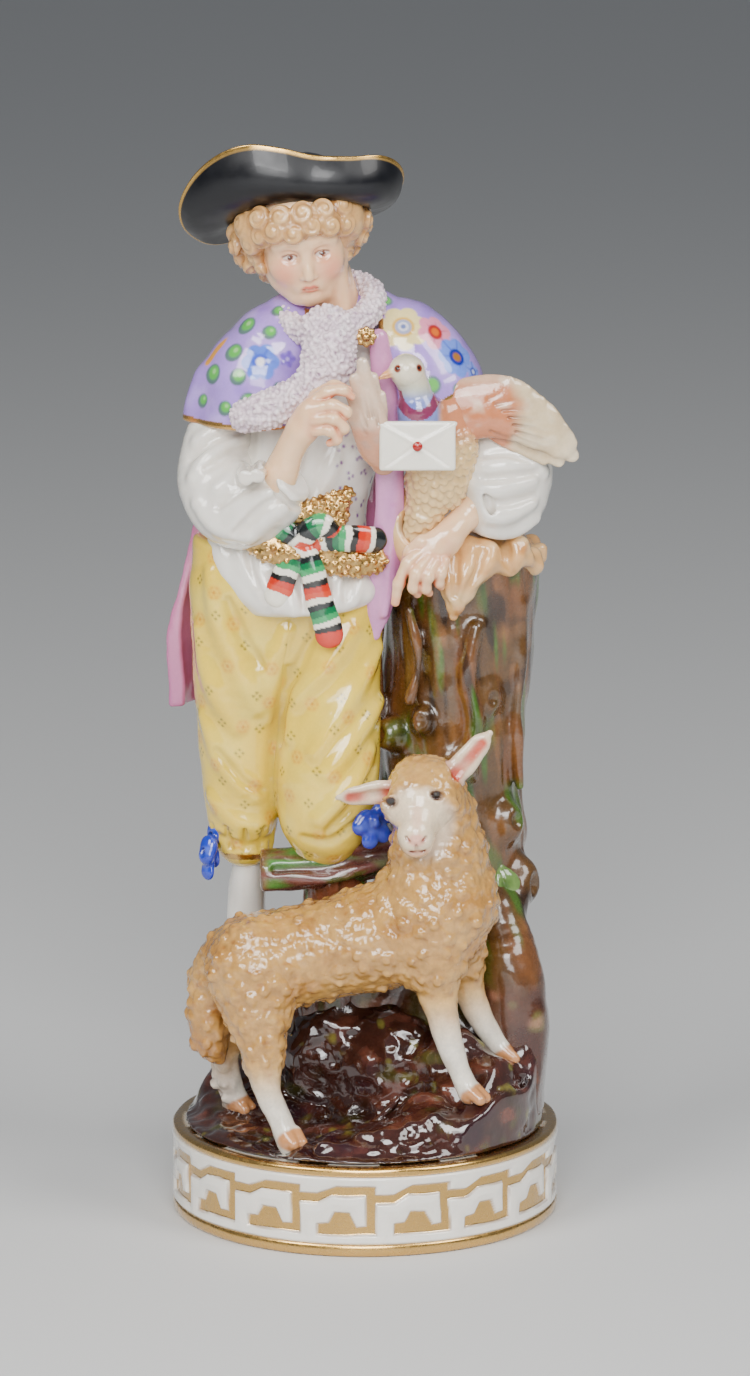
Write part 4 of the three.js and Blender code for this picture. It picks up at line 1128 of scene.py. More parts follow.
def lamb():
    step = by_quality(0.45)
    clay = Clay((-46, -44, 22), (42, 1, 126), step)
    L = LAMB_LEVEL
    barrel = [Limb([(-26.6, -18, L - 4, 11.4), (-18.5, -18.5, L - 2.6, 11.6), (-8, -19, L - 0.2, 11.4),
        (4, -19.5, L + 3, 12.4),
                    (14, -20, L + 6.8, 13.2), (19.4, -20, L + 11, 11.6)])]
    neck = [Limb([(17, -20, L + 12, 12.6), (17.6, -20.5, L + 22, 11.2), (17, -22, L + 31, 9.6),
        (15.5, -23, L + 38, 8.4)])]
    skull = [Limb([(14.2, -24.5, L + 39.6, 8.6), (13.4, -28, L + 38.2, 7.6), (12.7, -32, L + 35.4, 5.3),
        (12.2, -35.6, L + 32.6, 4.0)]),
             Egg((12.0, -37.0, L + 31.4), (3.5, 3.0, 3.2)), Egg((12.4, -34.2, L + 28.6), (3.2, 3.6, 2.4)),
             Egg((8.2, -30.0, L + 36.6), (3.0, 3.2, 3.2)), Egg((18.0, -29.4, L + 38.4), (3.2, 3.2, 3.4))]
    ears = {"right": [Limb([(8.2, -26, L + 40.6, 2.0, .8), (3.2, -27, L + 40.2, 3.3, .42),
        (-2, -28, L + 39.6, 2.7, .4), (-6.4, -28.4, L + 39.2, 0.9, .5)], face=(0.1, -1, -0.35))],
            "left": [Limb([(19.6, -25.4, L + 42.6, 2.1, .8), (23.4, -25.6, L + 46.5, 3.2, .42),
                (27, -25.4, L + 51, 2.7, .4), (29.9, -25, L + 54.3, 0.9, .5)], face=(-0.15, -1, -0.1))]}
    legs = {
        "hind_right": [Limb([(-26, -22, L - 6, 10.2), (-26, -25, L - 14, 7.8), (-25, -27.5, L - 21, 5.3),
            (-24.3, -29.4, L - 28.5, 3.9), (-23.2, -30.8, L - 34, 3.1),
                             (-20.6, -31.6, L - 39.5, 2.9), (-19.2, -32.4, L - 43, 3.0),
                                 (-18.0, -33.5, L - 45.2, 3.3)])],
        "hind_left": [Limb([(-29, -13, L - 8, 7.6), (-31.2, -10.5, L - 16, 5.4),
            (-33.6, -8.4, L - 25.5, 3.9), (-34.0, -7.4, L - 32, 2.9), (-32.4, -6.4, L - 39, 2.7),
            (-31.2, -5.8, L - 42.4, 3.0)])],
        "fore_right": [Limb([(15.6, -25.5, L - 1, 7.0), (17.2, -27, L - 8.5, 4.9), (18.8, -28, L - 15, 3.8),
            (20.4, -28.8, L - 21.5, 3.3), (23, -29.4, L - 28.5, 2.6), (25.2, -30, L - 33.5, 2.8)])],
        "fore_left": [Limb([(22, -15, L - 1, 6.6), (24.2, -14, L - 9, 4.4), (26.6, -13.4, L - 15.5, 3.5),
            (29, -13, L - 20.6, 3.0), (32, -12.8, L - 25.2, 2.6), (33.6, -12.8, L - 27.6, 2.8)])],
    }
    hooves = {"hind_right": (-17.0, -34.4, 25.6, (0.55, -0.8)),
        "hind_left": (-30.0, -6.6, 26.6, (0.8, -0.6)),
              "fore_right": (27.2, -31.2, 35.8, (0.85, -0.5)),
                  "fore_left": (35.6, -13.6, 41.4, (0.9, -0.3))}
    tail = [Limb([(-34, -16.5, L - 1, 4.4), (-37.2, -17, L - 7, 4.5), (-38, -17.4, L - 16, 4.5),
        (-37.6, -17, L - 23, 3.8), (-36.6, -17, L - 26.5, 2.4)])]
    clay.add_all(barrel + neck, 5)
    for form in legs.values():
        clay.add_all(form, 4)
    clay.add(tail[0], 2.2)
    # the haunch and shoulder under the wool
    clay.add(Egg((-27, -25, L - 4), (9, 6.6, 11), turn(0, 12, 0)), 5)
    clay.add(Egg((16.5, -27, L + 4), (7, 5.4, 10), turn(0, -8, 0)), 5)
    clay.add_all(skull, 3.2)
    # wool: thick on the body and the tail, short down the legs, none on the face and shanks
    axis = np.array([12.6, -33.5, L + 33.5])

    def woolly(P):
        face = np.linalg.norm((P - axis) / (9.4, 9.4, 10.0), axis=1) > 1.0
        low_hind = (P[:, 2] > L - 27.5) | (P[:, 0] < -34.5)
        low_fore = (P[:, 0] < 8) | (P[:, 2] > L - 8.5)
        return face & low_hind & low_fore

    curls(clay, by_quality(2.75), 2.1, 5, where=woolly, height=0.4)
    curls(clay, by_quality(3.4), 1.4, 9, where=lambda P: woolly(P) & (P[:, 2] < L + 38), height=0.4,
        sink=0.25)
    X, Y, Z = clay.grid()
    clay.push(noise(X, Y, Z, (1.6, 1.6, 4.5), 3) * 0.10 * ((Z < L - 12) * 1.0), 2)
    # hooves, cloven
    for x, y, z, (dx, dy) in hooves.values():
        side = np.array([-dy, dx, 0])
        for s in (-1, 1):
            base = np.array([x, y, z]) + side * 1.25 * s
            clay.add(Limb([(*(base - np.array([dx, dy, 0]) * 1.6 + (0, 0, 1.3)), 1.75),
                (*(base + np.array([dx, dy, 0]) * 1.4 + (0, 0, -0.6)), 1.45)]), 0.6)
        clay.cut(Limb([(x + dx * 3.6, y + dy * 3.6, z - 2, .32), (x + dx * 2.4, y + dy * 2.4, z + 2.2, .3)],
            spline=False), 0.5)
    # the ears, hollow inside
    for form in ears.values():
        clay.add_all(form, 1.0)
    clay.cut(Limb([(6.0, -28.8, L + 40.0, 1.1), (2.0, -29.6, L + 39.4, 2.0), (-2.4, -29.9, L + 39.1, 1.3),
        (-4.6, -29.8, L + 39, .6)]), 0.7)
    clay.cut(Limb([(20.9, -27.8, L + 43.6, 1.0), (23.6, -28.3, L + 46.6, 1.9), (26.7, -27.8, L + 50.4, 1.4),
        (28.6, -27, L + 52.8, .6)]), 0.7)
    # the face: eye sockets and lids, nostrils and mouth
    for x, y, z, s in ((6.1, -32.0, L + 39.2, -1), (17.0, -32.4, L + 40.9, 1)):
        clay.cut(Egg((x, y - 0.9, z), (1.7, 1.3, 1.25), turn(0, 0, 25 * s)), 1.0)
        clay.add(Egg((x, y - 0.1, z), (1.35, 1.05, 1.0), turn(0, 0, 25 * s)), 0.15)
        clay.add(Limb([(x - 1.7, y - 0.1, z + 0.5, .4), (x, y - 1.0, z + 1.35, .45),
            (x + 1.8, y, z + 0.6, .4)]), 0.6)
    for x, s in ((10.6, -1), (13.7, 1)):
        clay.cut(Limb([(x, -39.9, L + 31.0, .35), (x + 0.65 * s, -39.5, L + 31.9, .45)], spline=False), 0.5)
    clay.cut(Limb([(10.2, -37.2, L + 28.9, .32), (11.3, -38.6, L + 28.2, .38), (12.6, -38.9, L + 28.0, .38),
        (14.2, -38.0, L + 28.7, .38), (15.6, -36.2, L + 29.8, .3)]), 0.6)
    clay.cut(Limb([(12.2, -39.9, L + 30.2, .3), (12.4, -39.4, L + 28.4, .3)], spline=False), 0.5)
    forms = [barrel + neck, skull, ears["right"], ears["left"], legs["hind_right"], legs["hind_left"],
        legs["fore_right"], legs["fore_left"], tail]
    nodes = ["lamb_body", "lamb_head", "lamb_ear_right", "lamb_ear_left", "lamb_leg_hind_right",
        "lamb_leg_hind_left",
             "lamb_leg_fore_right", "lamb_leg_fore_left", "lamb_tail"]
    for node, part in split(clay, forms, nodes):
        skin = skin_of(part, "#dcbc80", clay)
        V = skin.V
        n = turbulence(*V.T, 7, 2, 4)
        skin.mix(ease(n, -0.2, 0.9) * 0.6, "#e9cd98")
        skin.mix(ease(-n, 0.2, 0.9) * 0.5, "#c59d5e")
        skin.mottle("#b58848", 1.6, 40, 0.4, 1.0, 0.55)
        face = 1 - ease(np.linalg.norm((V - axis) / (9.0, 9.0, 9.6), axis=1) + noise(*V.T, 2.5, 3) * 0.08,
            0.88, 1.12)
        skin.mix(face * (V[:, 1] < -20), "#f5e6cf")
        head = (V[:, 2] > L + 30) * (V[:, 1] < -22)
        skin.mix(ease(V[:, 2], L + 41, L + 46) * head * 0.6, "#e0c28a")
        for centre, radii, colour, share in (((12.2, -39.6, L + 31.4), (2.3, 3, 1.8), "#f0bfb0", 0.75),
            ((12.6, -37.5, L + 28.0), (3.2, 3, 1.6), "#eab8a4", 0.5),
                                             ((12.4, -36, L + 35), (1.8, 5, 5), "#f5cdbc", 0.35)):
            skin.mix((1 - ease(np.linalg.norm((V - centre) / radii, axis=1), 0.6, 1.2)) * share, colour)
        skin.stroke([(10.2, -37.4, L + 28.8), (11.4, -38.8, L + 28.1), (12.7, -39.1, L + 27.9),
            (14.2, -38.2, L + 28.6), (15.6, -36.4, L + 29.7)], 0.42, "#b0604a", 0.2, strength=0.8)
        for x in (10.6, 13.8):
            skin.dab((x, -39.4, L + 31.4), 0.55, "#b98272", 0.3)
        for x, y, z, s in ((6.1, -32.9, L + 39.2, -1), (17.0, -33.3, L + 40.9, 1)):
            skin.dab((x, y, z), 1.35, "#4a2a1a", 0.3)
            skin.dab((x + 0.1, y - 0.3, z + 0.1), 0.95, "#140c0a", 0.2)
            # a pale dot in each eye: a painted highlight
            skin.dab((x - 0.3 * s, y - 0.4, z + 0.45), 0.22, "#f4ece0", 0.1)
            skin.stroke([(x - 1.7, y + 0.9, z + 0.35), (x, y - 0.2, z + 1.0), (x + 1.8, y + 0.9, z + 0.45)],
                0.3, "#4a3022", 0.2, strength=0.7)
        if "ear" in node:
            skin.mix(np.ones(len(V)), "#e9dcc8")
            inner = np.clip(skin.pit * 1.6 - 0.1, 0, 1) * (skin.N[:, 1] < 0.2)
            if node.endswith("left"):
                hollow = [(21.2, -27.8, L + 44), (23.8, -28, L + 47), (28.0, -27.4, L + 52)]
            else:
                hollow = [(6.0, -29, L + 40.0), (2.0, -29.6, L + 39.4), (-3.6, -29.9, L + 39.1)]
            skin.stroke(hollow, 1.7, "#c4705a", 0.6)
            skin.mix(inner * 0.6, "#b4553f")
            skin.pit *= 0.3
        if "leg" in node:
            wool_end, bare_from = (L - 25, L - 38) if "hind" in node else (L - 8, L - 24)
            skin.mix(1 - ease(V[:, 2], bare_from, wool_end), "#e9e4da")
            x, y, z, (dx, dy) = hooves[node[9:]]
            hoof = 1 - ease(np.linalg.norm((V - (x, y, z)) / (4.4, 4.4, 3.0), axis=1), 0.85, 1.05)
            skin.mix(hoof * 0.95, "#c79b6e")
            skin.stroke([(x + dx * 3.4, y + dy * 3.4, z - 1.5), (x + dx * 2.2, y + dy * 2.2, z + 2)], 0.28,
                "#5c3a24", 0.2, strength=0.7)
        if "tail" in node:
            skin.mix(ease(-V[:, 2], -L + 14, -L + 30) * 0.5, "#c29a66")
        bare = "head" in node or "ear" in node
        piece("lamb_" + node[5:] + "_modelled", skin, [node], "lamb")


# ---------------------------------------------------------------- dress
def folds(clay, paths, radius, k=1.6, toward=(0, 1, 0), sink=0.45, cut=False):
    """Soft ridges, or grooves, along paths of (x, z) seen along a direction and laid on the surface."""
    d = unit(toward)
    for path in paths:
        flat = np.array([(x, 0, z) if abs(d[1]) > 0.5 else (0, x, z) for x, z in path], float)
        flat = resample(flat, np.zeros(len(flat)), np.zeros(len(flat)), 4)[0]
        P = clay.land(flat, d, 55)
        share = np.sin(np.linspace(0.28, math.pi - 0.28, len(P)))
        R = radius * (0.35 + 0.65 * share)
        P = P + d * (sink if not cut else -0.3) * R[:, None]
        prim = Limb([(*p, r) for p, r in zip(P, R)], spline=False)
        (clay.cut if cut else clay.add)(prim, k)


def scatter(skin, spacing, seed, where=None):
    """Vertices about spacing apart, in a fixed random order."""
    rng = np.random.default_rng(seed)
    pick = rng.permutation(len(skin.V))[:9000]
    kept = np.empty((0, 3))
    index = []
    for k in pick:
        p = skin.V[k]
        if where is not None and not where(p):
            continue
        if len(kept) and ((kept - p) ** 2).sum(1).min() < spacing ** 2:
            continue
        kept = np.vstack([kept, p])
        index.append(k)
    return index


def cut_plane(clay, normal, point, k=0.8):
    """Removes what lies on the normal's side of a plane."""
    n = unit(normal)
    X, Y, Z = clay.grid()
    side = F32(n[0]) * (X - F32(point[0])) + F32(n[1]) * (Y - F32(point[1])) + F32(n[2]) * (Z - F32(point[2]))
    clay.trim(side, k)


def breeches():
    clay = Clay((-46, -21, 84), (8, 18, 176), by_quality(0.42))
    right = [Limb([(-30, 2, 171, 11, .9), (-28.5, 1, 162, 13.6, .92), (-28.5, 0.5, 150, 14.2, .92),
        (-29.6, 0.2, 136, 12.4, .95), (-30.6, .6, 121.7, 10.4),
                   (-30.4, 1, 109, 9.8), (-29.8, 1.4, 99, 8.9), (-29.3, 2, 93, 7.6),
                       (-29, 2.4, 89.6, 5.2)])]
    left = [Limb([(-10, 1, 162, 12.4, .9), (-8.6, 0, 150, 12.8, .95), (-8.2, -1.4, 138, 12.2),
        (-8.4, -3, 124, 12.3), (-9.0, -4.8, 111, 12.4),
                  (-9.6, -5.4, 101.5, 11.6), (-9.8, -4.6, 96, 9.4), (-9.6, -1, 94, 7.4)]),
                      Limb([(-9, 1, 100, 9.4), (-9, 6, 99, 7.6), (-9.4, 11, 98, 6)])]
    clay.add_all(right + left, 3.2)
    clay.add(Egg((-18, 1, 156), (22, 12.5, 10)), 5)
    clay.add(Egg((-19, -3.5, 141), (9, 7.5, 15)), 5)
    folds(clay, [[(3, 141), (-1, 134), (-7, 125), (-12, 117)], [(3.5, 128), (-2, 121), (-9, 112)],
        [(-3, 147), (-9, 138), (-16, 129), (-18, 120)],
                 [(1, 117), (-4, 108), (-11, 101)], [(-19, 146), (-23, 136), (-24, 124)],
                     [(-37, 160), (-35, 148), (-30, 136), (-26, 127)],
                 [(-40, 146), (-37, 133), (-31, 122)], [(-39, 124), (-34, 113), (-27, 105)],
                     [(-37, 104), (-32, 99), (-25, 97)]], 2.0, 2.6, sink=0.62)
    folds(clay, [[(-18.5, 137), (-20, 128), (-20.8, 118)], [(-12, 146), (-16, 138), (-19, 132)],
        [(-33, 154), (-29, 144), (-25, 138)],
                 [(-36, 116), (-30, 109), (-25, 106)], [(-2, 100), (-8, 95.5), (-15, 96)],
                     [(-36, 94), (-29, 91.6), (-23, 93)],
                 [(2, 112), (-3, 104), (-9, 98)]], 0.95, 1.8, cut=True)
    folds(clay, [[(-38, 150), (-33, 138), (-28, 126)], [(-30, 152), (-26, 138), (-27, 122)],
        [(0, 150), (-4, 136), (-10, 124)], [(-12, 150), (-9, 134), (-4, 120)],
                 [(-36, 112), (-30, 104), (-25, 100)]], 2.0, 2.6, toward=(0, -1, 0), sink=0.6)
    # gathers above the garters
    for a in np.linspace(0, 2 * math.pi, 13)[:-1]:
        c, s = math.cos(a), math.sin(a)
        clay.cut(Limb([(-29.2 + 9.4 * c, 1.8 + 9.2 * s, 96.5, .45),
            (-29.1 + 7.4 * c, 2.1 + 7.2 * s, 91.2, .75)], spline=False), 0.9)
    X, Y, Z = clay.grid()
    clay.push(turbulence(X, Y, Z, 12, 2, 8) * 0.3, 3)
    cut_plane(clay, (-0.3, 0, 1), (-41, 0, 171.5), 1.5)
    cut_plane(clay, (0.25, 0, 1), (-20, 0, 163), 1.5)
    for node, part in split(clay, [right, left], ["breeches_right", "breeches_left"]):
        skin = skin_of(part, "#efd86c", clay)
        V = skin.V
        skin.mottle("#f4e692", 9, 3, -0.3, 0.9, 0.5)
        # darker yellow in the creases: painted shade
        skin.mix(skin.pit * 0.5, "#b7a94e")
        for k in scatter(skin, 8.6, 12):
            p = skin.V[k]
            skin.dab(p, 1.75, "#e8c35a", 0.7, strength=0.62)
            skin.dab(p, 0.95, "#ecd67c", 0.3, strength=0.7)
            skin.dab(p, 0.45, "#cf9a34", 0.25, strength=0.75)
            m = frame_for(skin.N[k])
            for a in range(6):
                skin.dab(p + 1.35 * round_about(m, a * 1.047), 0.34, "#d9ab42", 0.25, strength=0.5)
        taken = skin.V[scatter(skin, 8.6, 12)]
        for k in scatter(skin, 7.4, 31, where=lambda p: ((taken - p) ** 2).sum(1).min() > 13):
            p = skin.V[k]
            m = frame_for(skin.N[k])
            for a in (0, 1, 2, 3):
                skin.dab(p + 0.85 * round_about(m, a * 1.571), 0.36, "#6f6526", 0.2, strength=0.85)
        skin.gold((np.abs(V[:, 2] - 88.6) < 0.7) & (V[:, 0] < -20))
        piece(node + "_printed", skin, [node], "cloth")


def shirt():
    clay = Clay((-38, -19, 146), (14, 18, 219), by_quality(0.45))
    trunk_form = [Limb([(-17, 1, 160, 15.5, .78), (-16.4, 1, 172, 15.6, .78), (-14, 1, 185, 16.6, .74),
        (-10.5, 1, 199, 17.4, .7), (-6.5, 2, 209, 14, .66)])]
    billow = [Limb([(-17, 0.5, 176, 14.5, .84), (-17, 0.3, 168, 17.2, .84), (-16.8, 0.2, 160, 18.6, .84),
        (-16.5, 0.2, 155, 17.8, .84)])]
    clay.add_all(trunk_form + billow, 2.5)
    clay.add(Limb([(-33, -4, 176, 3), (-34, -5, 168, 4.2), (-31, -8, 161, 4.5), (-25, -11, 155, 4.4),
        (-17, -12.6, 152.6, 4.0), (-8, -12, 153, 4.0), (-1, -8.5, 155.5, 3.6)]), 3.5)
    folds(clay, [[(-31, 171), (-29, 163), (-25, 157)], [(-26, 165), (-24, 158), (-21, 153)],
        [(-19, 163), (-18.5, 156), (-17, 151)], [(-12, 162), (-12, 156), (-12, 151)],
                 [(-6, 163), (-7, 157), (-8, 152)], [(-1, 163), (-2, 158), (-3, 154)]], 1.7, 2.2, sink=0.55)
    folds(clay, [[(-28.5, 166), (-26.5, 160), (-24, 155)], [(-21.5, 162), (-20.4, 156)],
        [(-15.5, 160), (-14.8, 153)], [(-9.4, 161), (-9.4, 154)], [(-4, 161), (-4.6, 155)]], 0.6, 1.4,
        cut=True)
    folds(clay, [[(-12, 196), (-15, 186), (-20, 178)], [(-6, 192), (-9, 184), (-13, 177)],
        [(-24, 200), (-24, 190), (-26, 180)]], 1.3, 2.4, sink=0.6)
    X, Y, Z = clay.grid()
    clay.push(turbulence(X, Y, Z, 8, 2, 28) * 0.3, 3)
    cut_plane(clay, (0.06, 0, -1), (-17, 0, 150.4), 1.2)
    for node, part in split(clay, [trunk_form, billow], ["torso", "peplum"]):
        skin = skin_of(part, WHITE, clay)
        rng = np.random.default_rng(6)
        for k in scatter(skin, 3.6, 15, where=lambda p: p[0] > -7 and p[2] > 167 and p[1] < 0):
            p = skin.V[k]
            m = frame_for(skin.N[k])
            for a in rng.uniform(0, 6.28, 3):
                skin.dab(p + 0.8 * round_about(m, a), 0.42, "#7a4a8e", 0.25, strength=0.8)
        piece("shirt_" + node, skin, [node], "white")


def coat():
    clay = Clay((-51, 2, 122), (16, 22, 203), by_quality(0.5))
    outer = Limb([(-14, 4, 202, 17, .62), (-16, 4, 186, 20, .62), (-20, 4.4, 166, 22.5, .62),
        (-23.4, 5, 146, 23.8, .62), (-25, 6, 128, 21.5, .66), (-25, 6, 122, 21, .66)])
    inner = Limb([(-14, 2, 180, 15, .62), (-20, 2.4, 160, 20, .62), (-23.4, 3, 146, 21.4, .62),
        (-25, 4, 128, 19, .66), (-25, 4, 118, 18.6, .66)])
    clay.add(outer)
    X, Y, Z = clay.grid()
    hang = ease(190 - Z, 0, 55)
    clay.push(np.sin(X * F32(0.62) + noise(X * 0, Y * 0, Z, 30, 3) * 2) * 1.15 * hang + noise(X, Y, Z,
        (5, 5, 40), 6) * 0.8 * hang, 4)
    clay.cut(inner, 0.6)
    cut_plane(clay, (0, -1, 0), (0, 4.6, 0), 0.8)
    cut_plane(clay, (0.1, 0, -1), (-25, 0, 126.4), 0.8)
    skin = skin_of(clay, "#c890b0")
    V = skin.V
    skin.mottle("#d8aac4", (6, 6, 25), 3, -0.4, 0.9, 0.55)
    skin.mix(ease(-V[:, 2], -150, -125) * 0.5, "#a3688f")
    skin.mix((1 - ease(V[:, 2], 127.2, 128)) * (skin.N[:, 1] > 0.2), "#c98a3a")
    piece("coat_skirt_hung", skin, ["coat_skirt"], "cloth")

    clay = Clay((-4, -15, 140), (14, 4, 220), by_quality(0.4))
    clay.add(Limb([(3.2, -9.4, 217, 2.4, .6), (4.8, -10, 205, 3.2, .5), (5.6, -9.6, 190, 3.5, .46),
        (6.0, -8.6, 176, 3.7, .46), (5.0, -8, 163, 4.2, .42), (3.6, -7.4, 152, 3.3, .42),
        (2.4, -7, 144.5, 1.5, .5)], face=(0.25, -1, 0)))
    clay.add(Limb([(6.6, -9, 176, 1.1), (6.4, -8.6, 164, 1.3), (4.6, -8.4, 150, 1.0)]), 1.2)
    X, Y, Z = clay.grid()
    clay.push(noise(X, Y, Z, (4, 4, 12), 3) * 0.35, 2)
    skin = skin_of(clay, "#d8a8cc", whole=True)
    V = skin.V
    skin.mottle("#c08ab8", (3, 3, 16), 3, -0.4, 0.9, 0.6)
    skin.mix(ease(V[:, 2], 190, 205) * 0.6, "#d3a4c0")
    piece("lapel_strip", skin, ["lapel"], "cloth")


def sleeves():
    clay = Clay((-48, -26, 164), (-12, 14, 214), by_quality(0.42))
    clay.add(Limb([(-27.6, 3, 205, 6.6), (-33.2, 0.5, 197, 7.6), (-35.8, -3, 188, 8.6),
        (-34.6, -7.6, 179.4, 9.6), (-29, -11.5, 176.2, 9.8), (-23, -14.6, 179, 8.2),
        (-19, -16.4, 182.6, 6.0)]), 0)
    clay.add(Egg((-31, -9, 176), (9, 8.4, 8)), 4)
    clay.add(Egg((-36.5, -3, 183), (7.4, 8.2, 7.6)), 4)
    folds(clay, [[(-17, 184), (-24, 181), (-31, 174)], [(-17, 181), (-23, 176), (-28, 170.5)],
        [(-19, 186), (-27, 186.6), (-35, 182)], [(-30, 193), (-36, 190), (-41, 184)],
                 [(-27, 197), (-33, 196), (-40, 192)], [(-40, 178), (-35, 173), (-28, 171)]], 1.9, 2.6,
                     sink=0.55)
    folds(clay, [[(-20.5, 180.8), (-25, 178.0), (-31, 171.8)], [(-22.5, 184.6), (-28, 183.2), (-35, 178)],
        [(-29, 194.6), (-36, 193), (-42, 188)], [(-24, 188.6), (-31, 189.6), (-38, 186.4)]], 0.75, 1.7,
        cut=True)
    folds(clay, [[(-30, 200), (-34, 190), (-35, 181)], [(-38, 198), (-40, 188), (-38, 178)],
        [(-26, 182), (-32, 176), (-37, 174)]], 1.6, 2.4, toward=(0, -1, 0), sink=0.5)
    # the cuff is drawn in round the forearm
    cuff = unit((4, -2, 3.6))
    clay.cut(Ring((-18.6, -16.4, 182.8), 6.4, 0.9, frame_for(cuff).T), 1.2)
    cut_plane(clay, cuff, (-16.6, -17.3, 184.2), 1.0)
    piece("sleeve_right_gathered", skin_of(clay, WHITE), ["sleeve_right"], "white")

    clay = Clay((8, -16, 162), (48, 20, 214), by_quality(0.42))
    clay.add(Limb([(17, 5, 203, 7), (26, 7, 196, 8), (34, 6, 189.5, 9.4), (35.6, 3, 181.5, 9.8),
        (31.6, -1.4, 176.4, 8.8), (27, -4.6, 176.4, 6.4)]), 0)
    clay.add(Egg((32, -1, 184), (10.5, 9, 9.5)), 5)
    clay.add(Egg((36, 3, 175), (6.5, 8, 6)), 4)
    folds(clay, [[(23, 191), (32, 192.6), (41, 190)], [(22.5, 186), (31, 186), (40, 187), (43, 184)],
        [(24, 180.5), (32, 181), (40, 182.5)], [(26, 174.6), (33, 174), (40, 176.6)],
                 [(28, 170.4), (35, 169.6), (41, 172)], [(20, 201), (27, 199), (36, 198)]], 1.8, 2.4,
                     sink=0.55)
    folds(clay, [[(29, 188.8), (34, 189.2), (40, 187.4)], [(29, 183.2), (34, 183.6), (41, 184.2)],
        [(30, 177.4), (35, 177.4), (41, 178.6)]], 0.6, 1.7, cut=True)
    folds(clay, [[(24, 196), (33, 190), (38, 182)], [(30, 200), (38, 194), (42, 184)],
        [(26, 184), (33, 178), (38, 172)]], 1.6, 2.4, toward=(0, -1, 0), sink=0.5)
    cuff = unit((-4.5, -3.2, -1.5))
    clay.cut(Ring((26.4, -4.8, 176.2), 6.6, 0.9, frame_for(cuff).T), 1.2)
    cut_plane(clay, cuff, (24.4, -6.2, 175.4), 1.0)
    piece("sleeve_left_gathered", skin_of(clay, WHITE), ["sleeve_left"], "white")


def flower(skin, point, radius, petals, colours, petal_share=0.5, turn_by=0.0):
    """A painted flower at a landed point: petals round a ring and an eye."""
    p, n = point
    m = frame_for(n)
    petal, shade, ring, eye = colours
    for a in np.arange(petals) * 2 * math.pi / petals + turn_by:
        c = p + radius * (1 - petal_share * 0.55) * round_about(m, a)
        skin.dab(c, radius * petal_share, petal, 0.25)
    skin.dab(p, radius * 0.72, petal, 0.3)
    for a in np.arange(petals) * 2 * math.pi / petals + turn_by:
        u = round_about(m, a)
        skin.stroke([p + radius * 0.55 * u, p + radius * 1.15 * u], 0.28, shade, 0.25, strength=0.55)
    skin.dab(p, radius * 0.5, ring, 0.3)
    skin.dab(p, radius * 0.27, eye, 0.3)


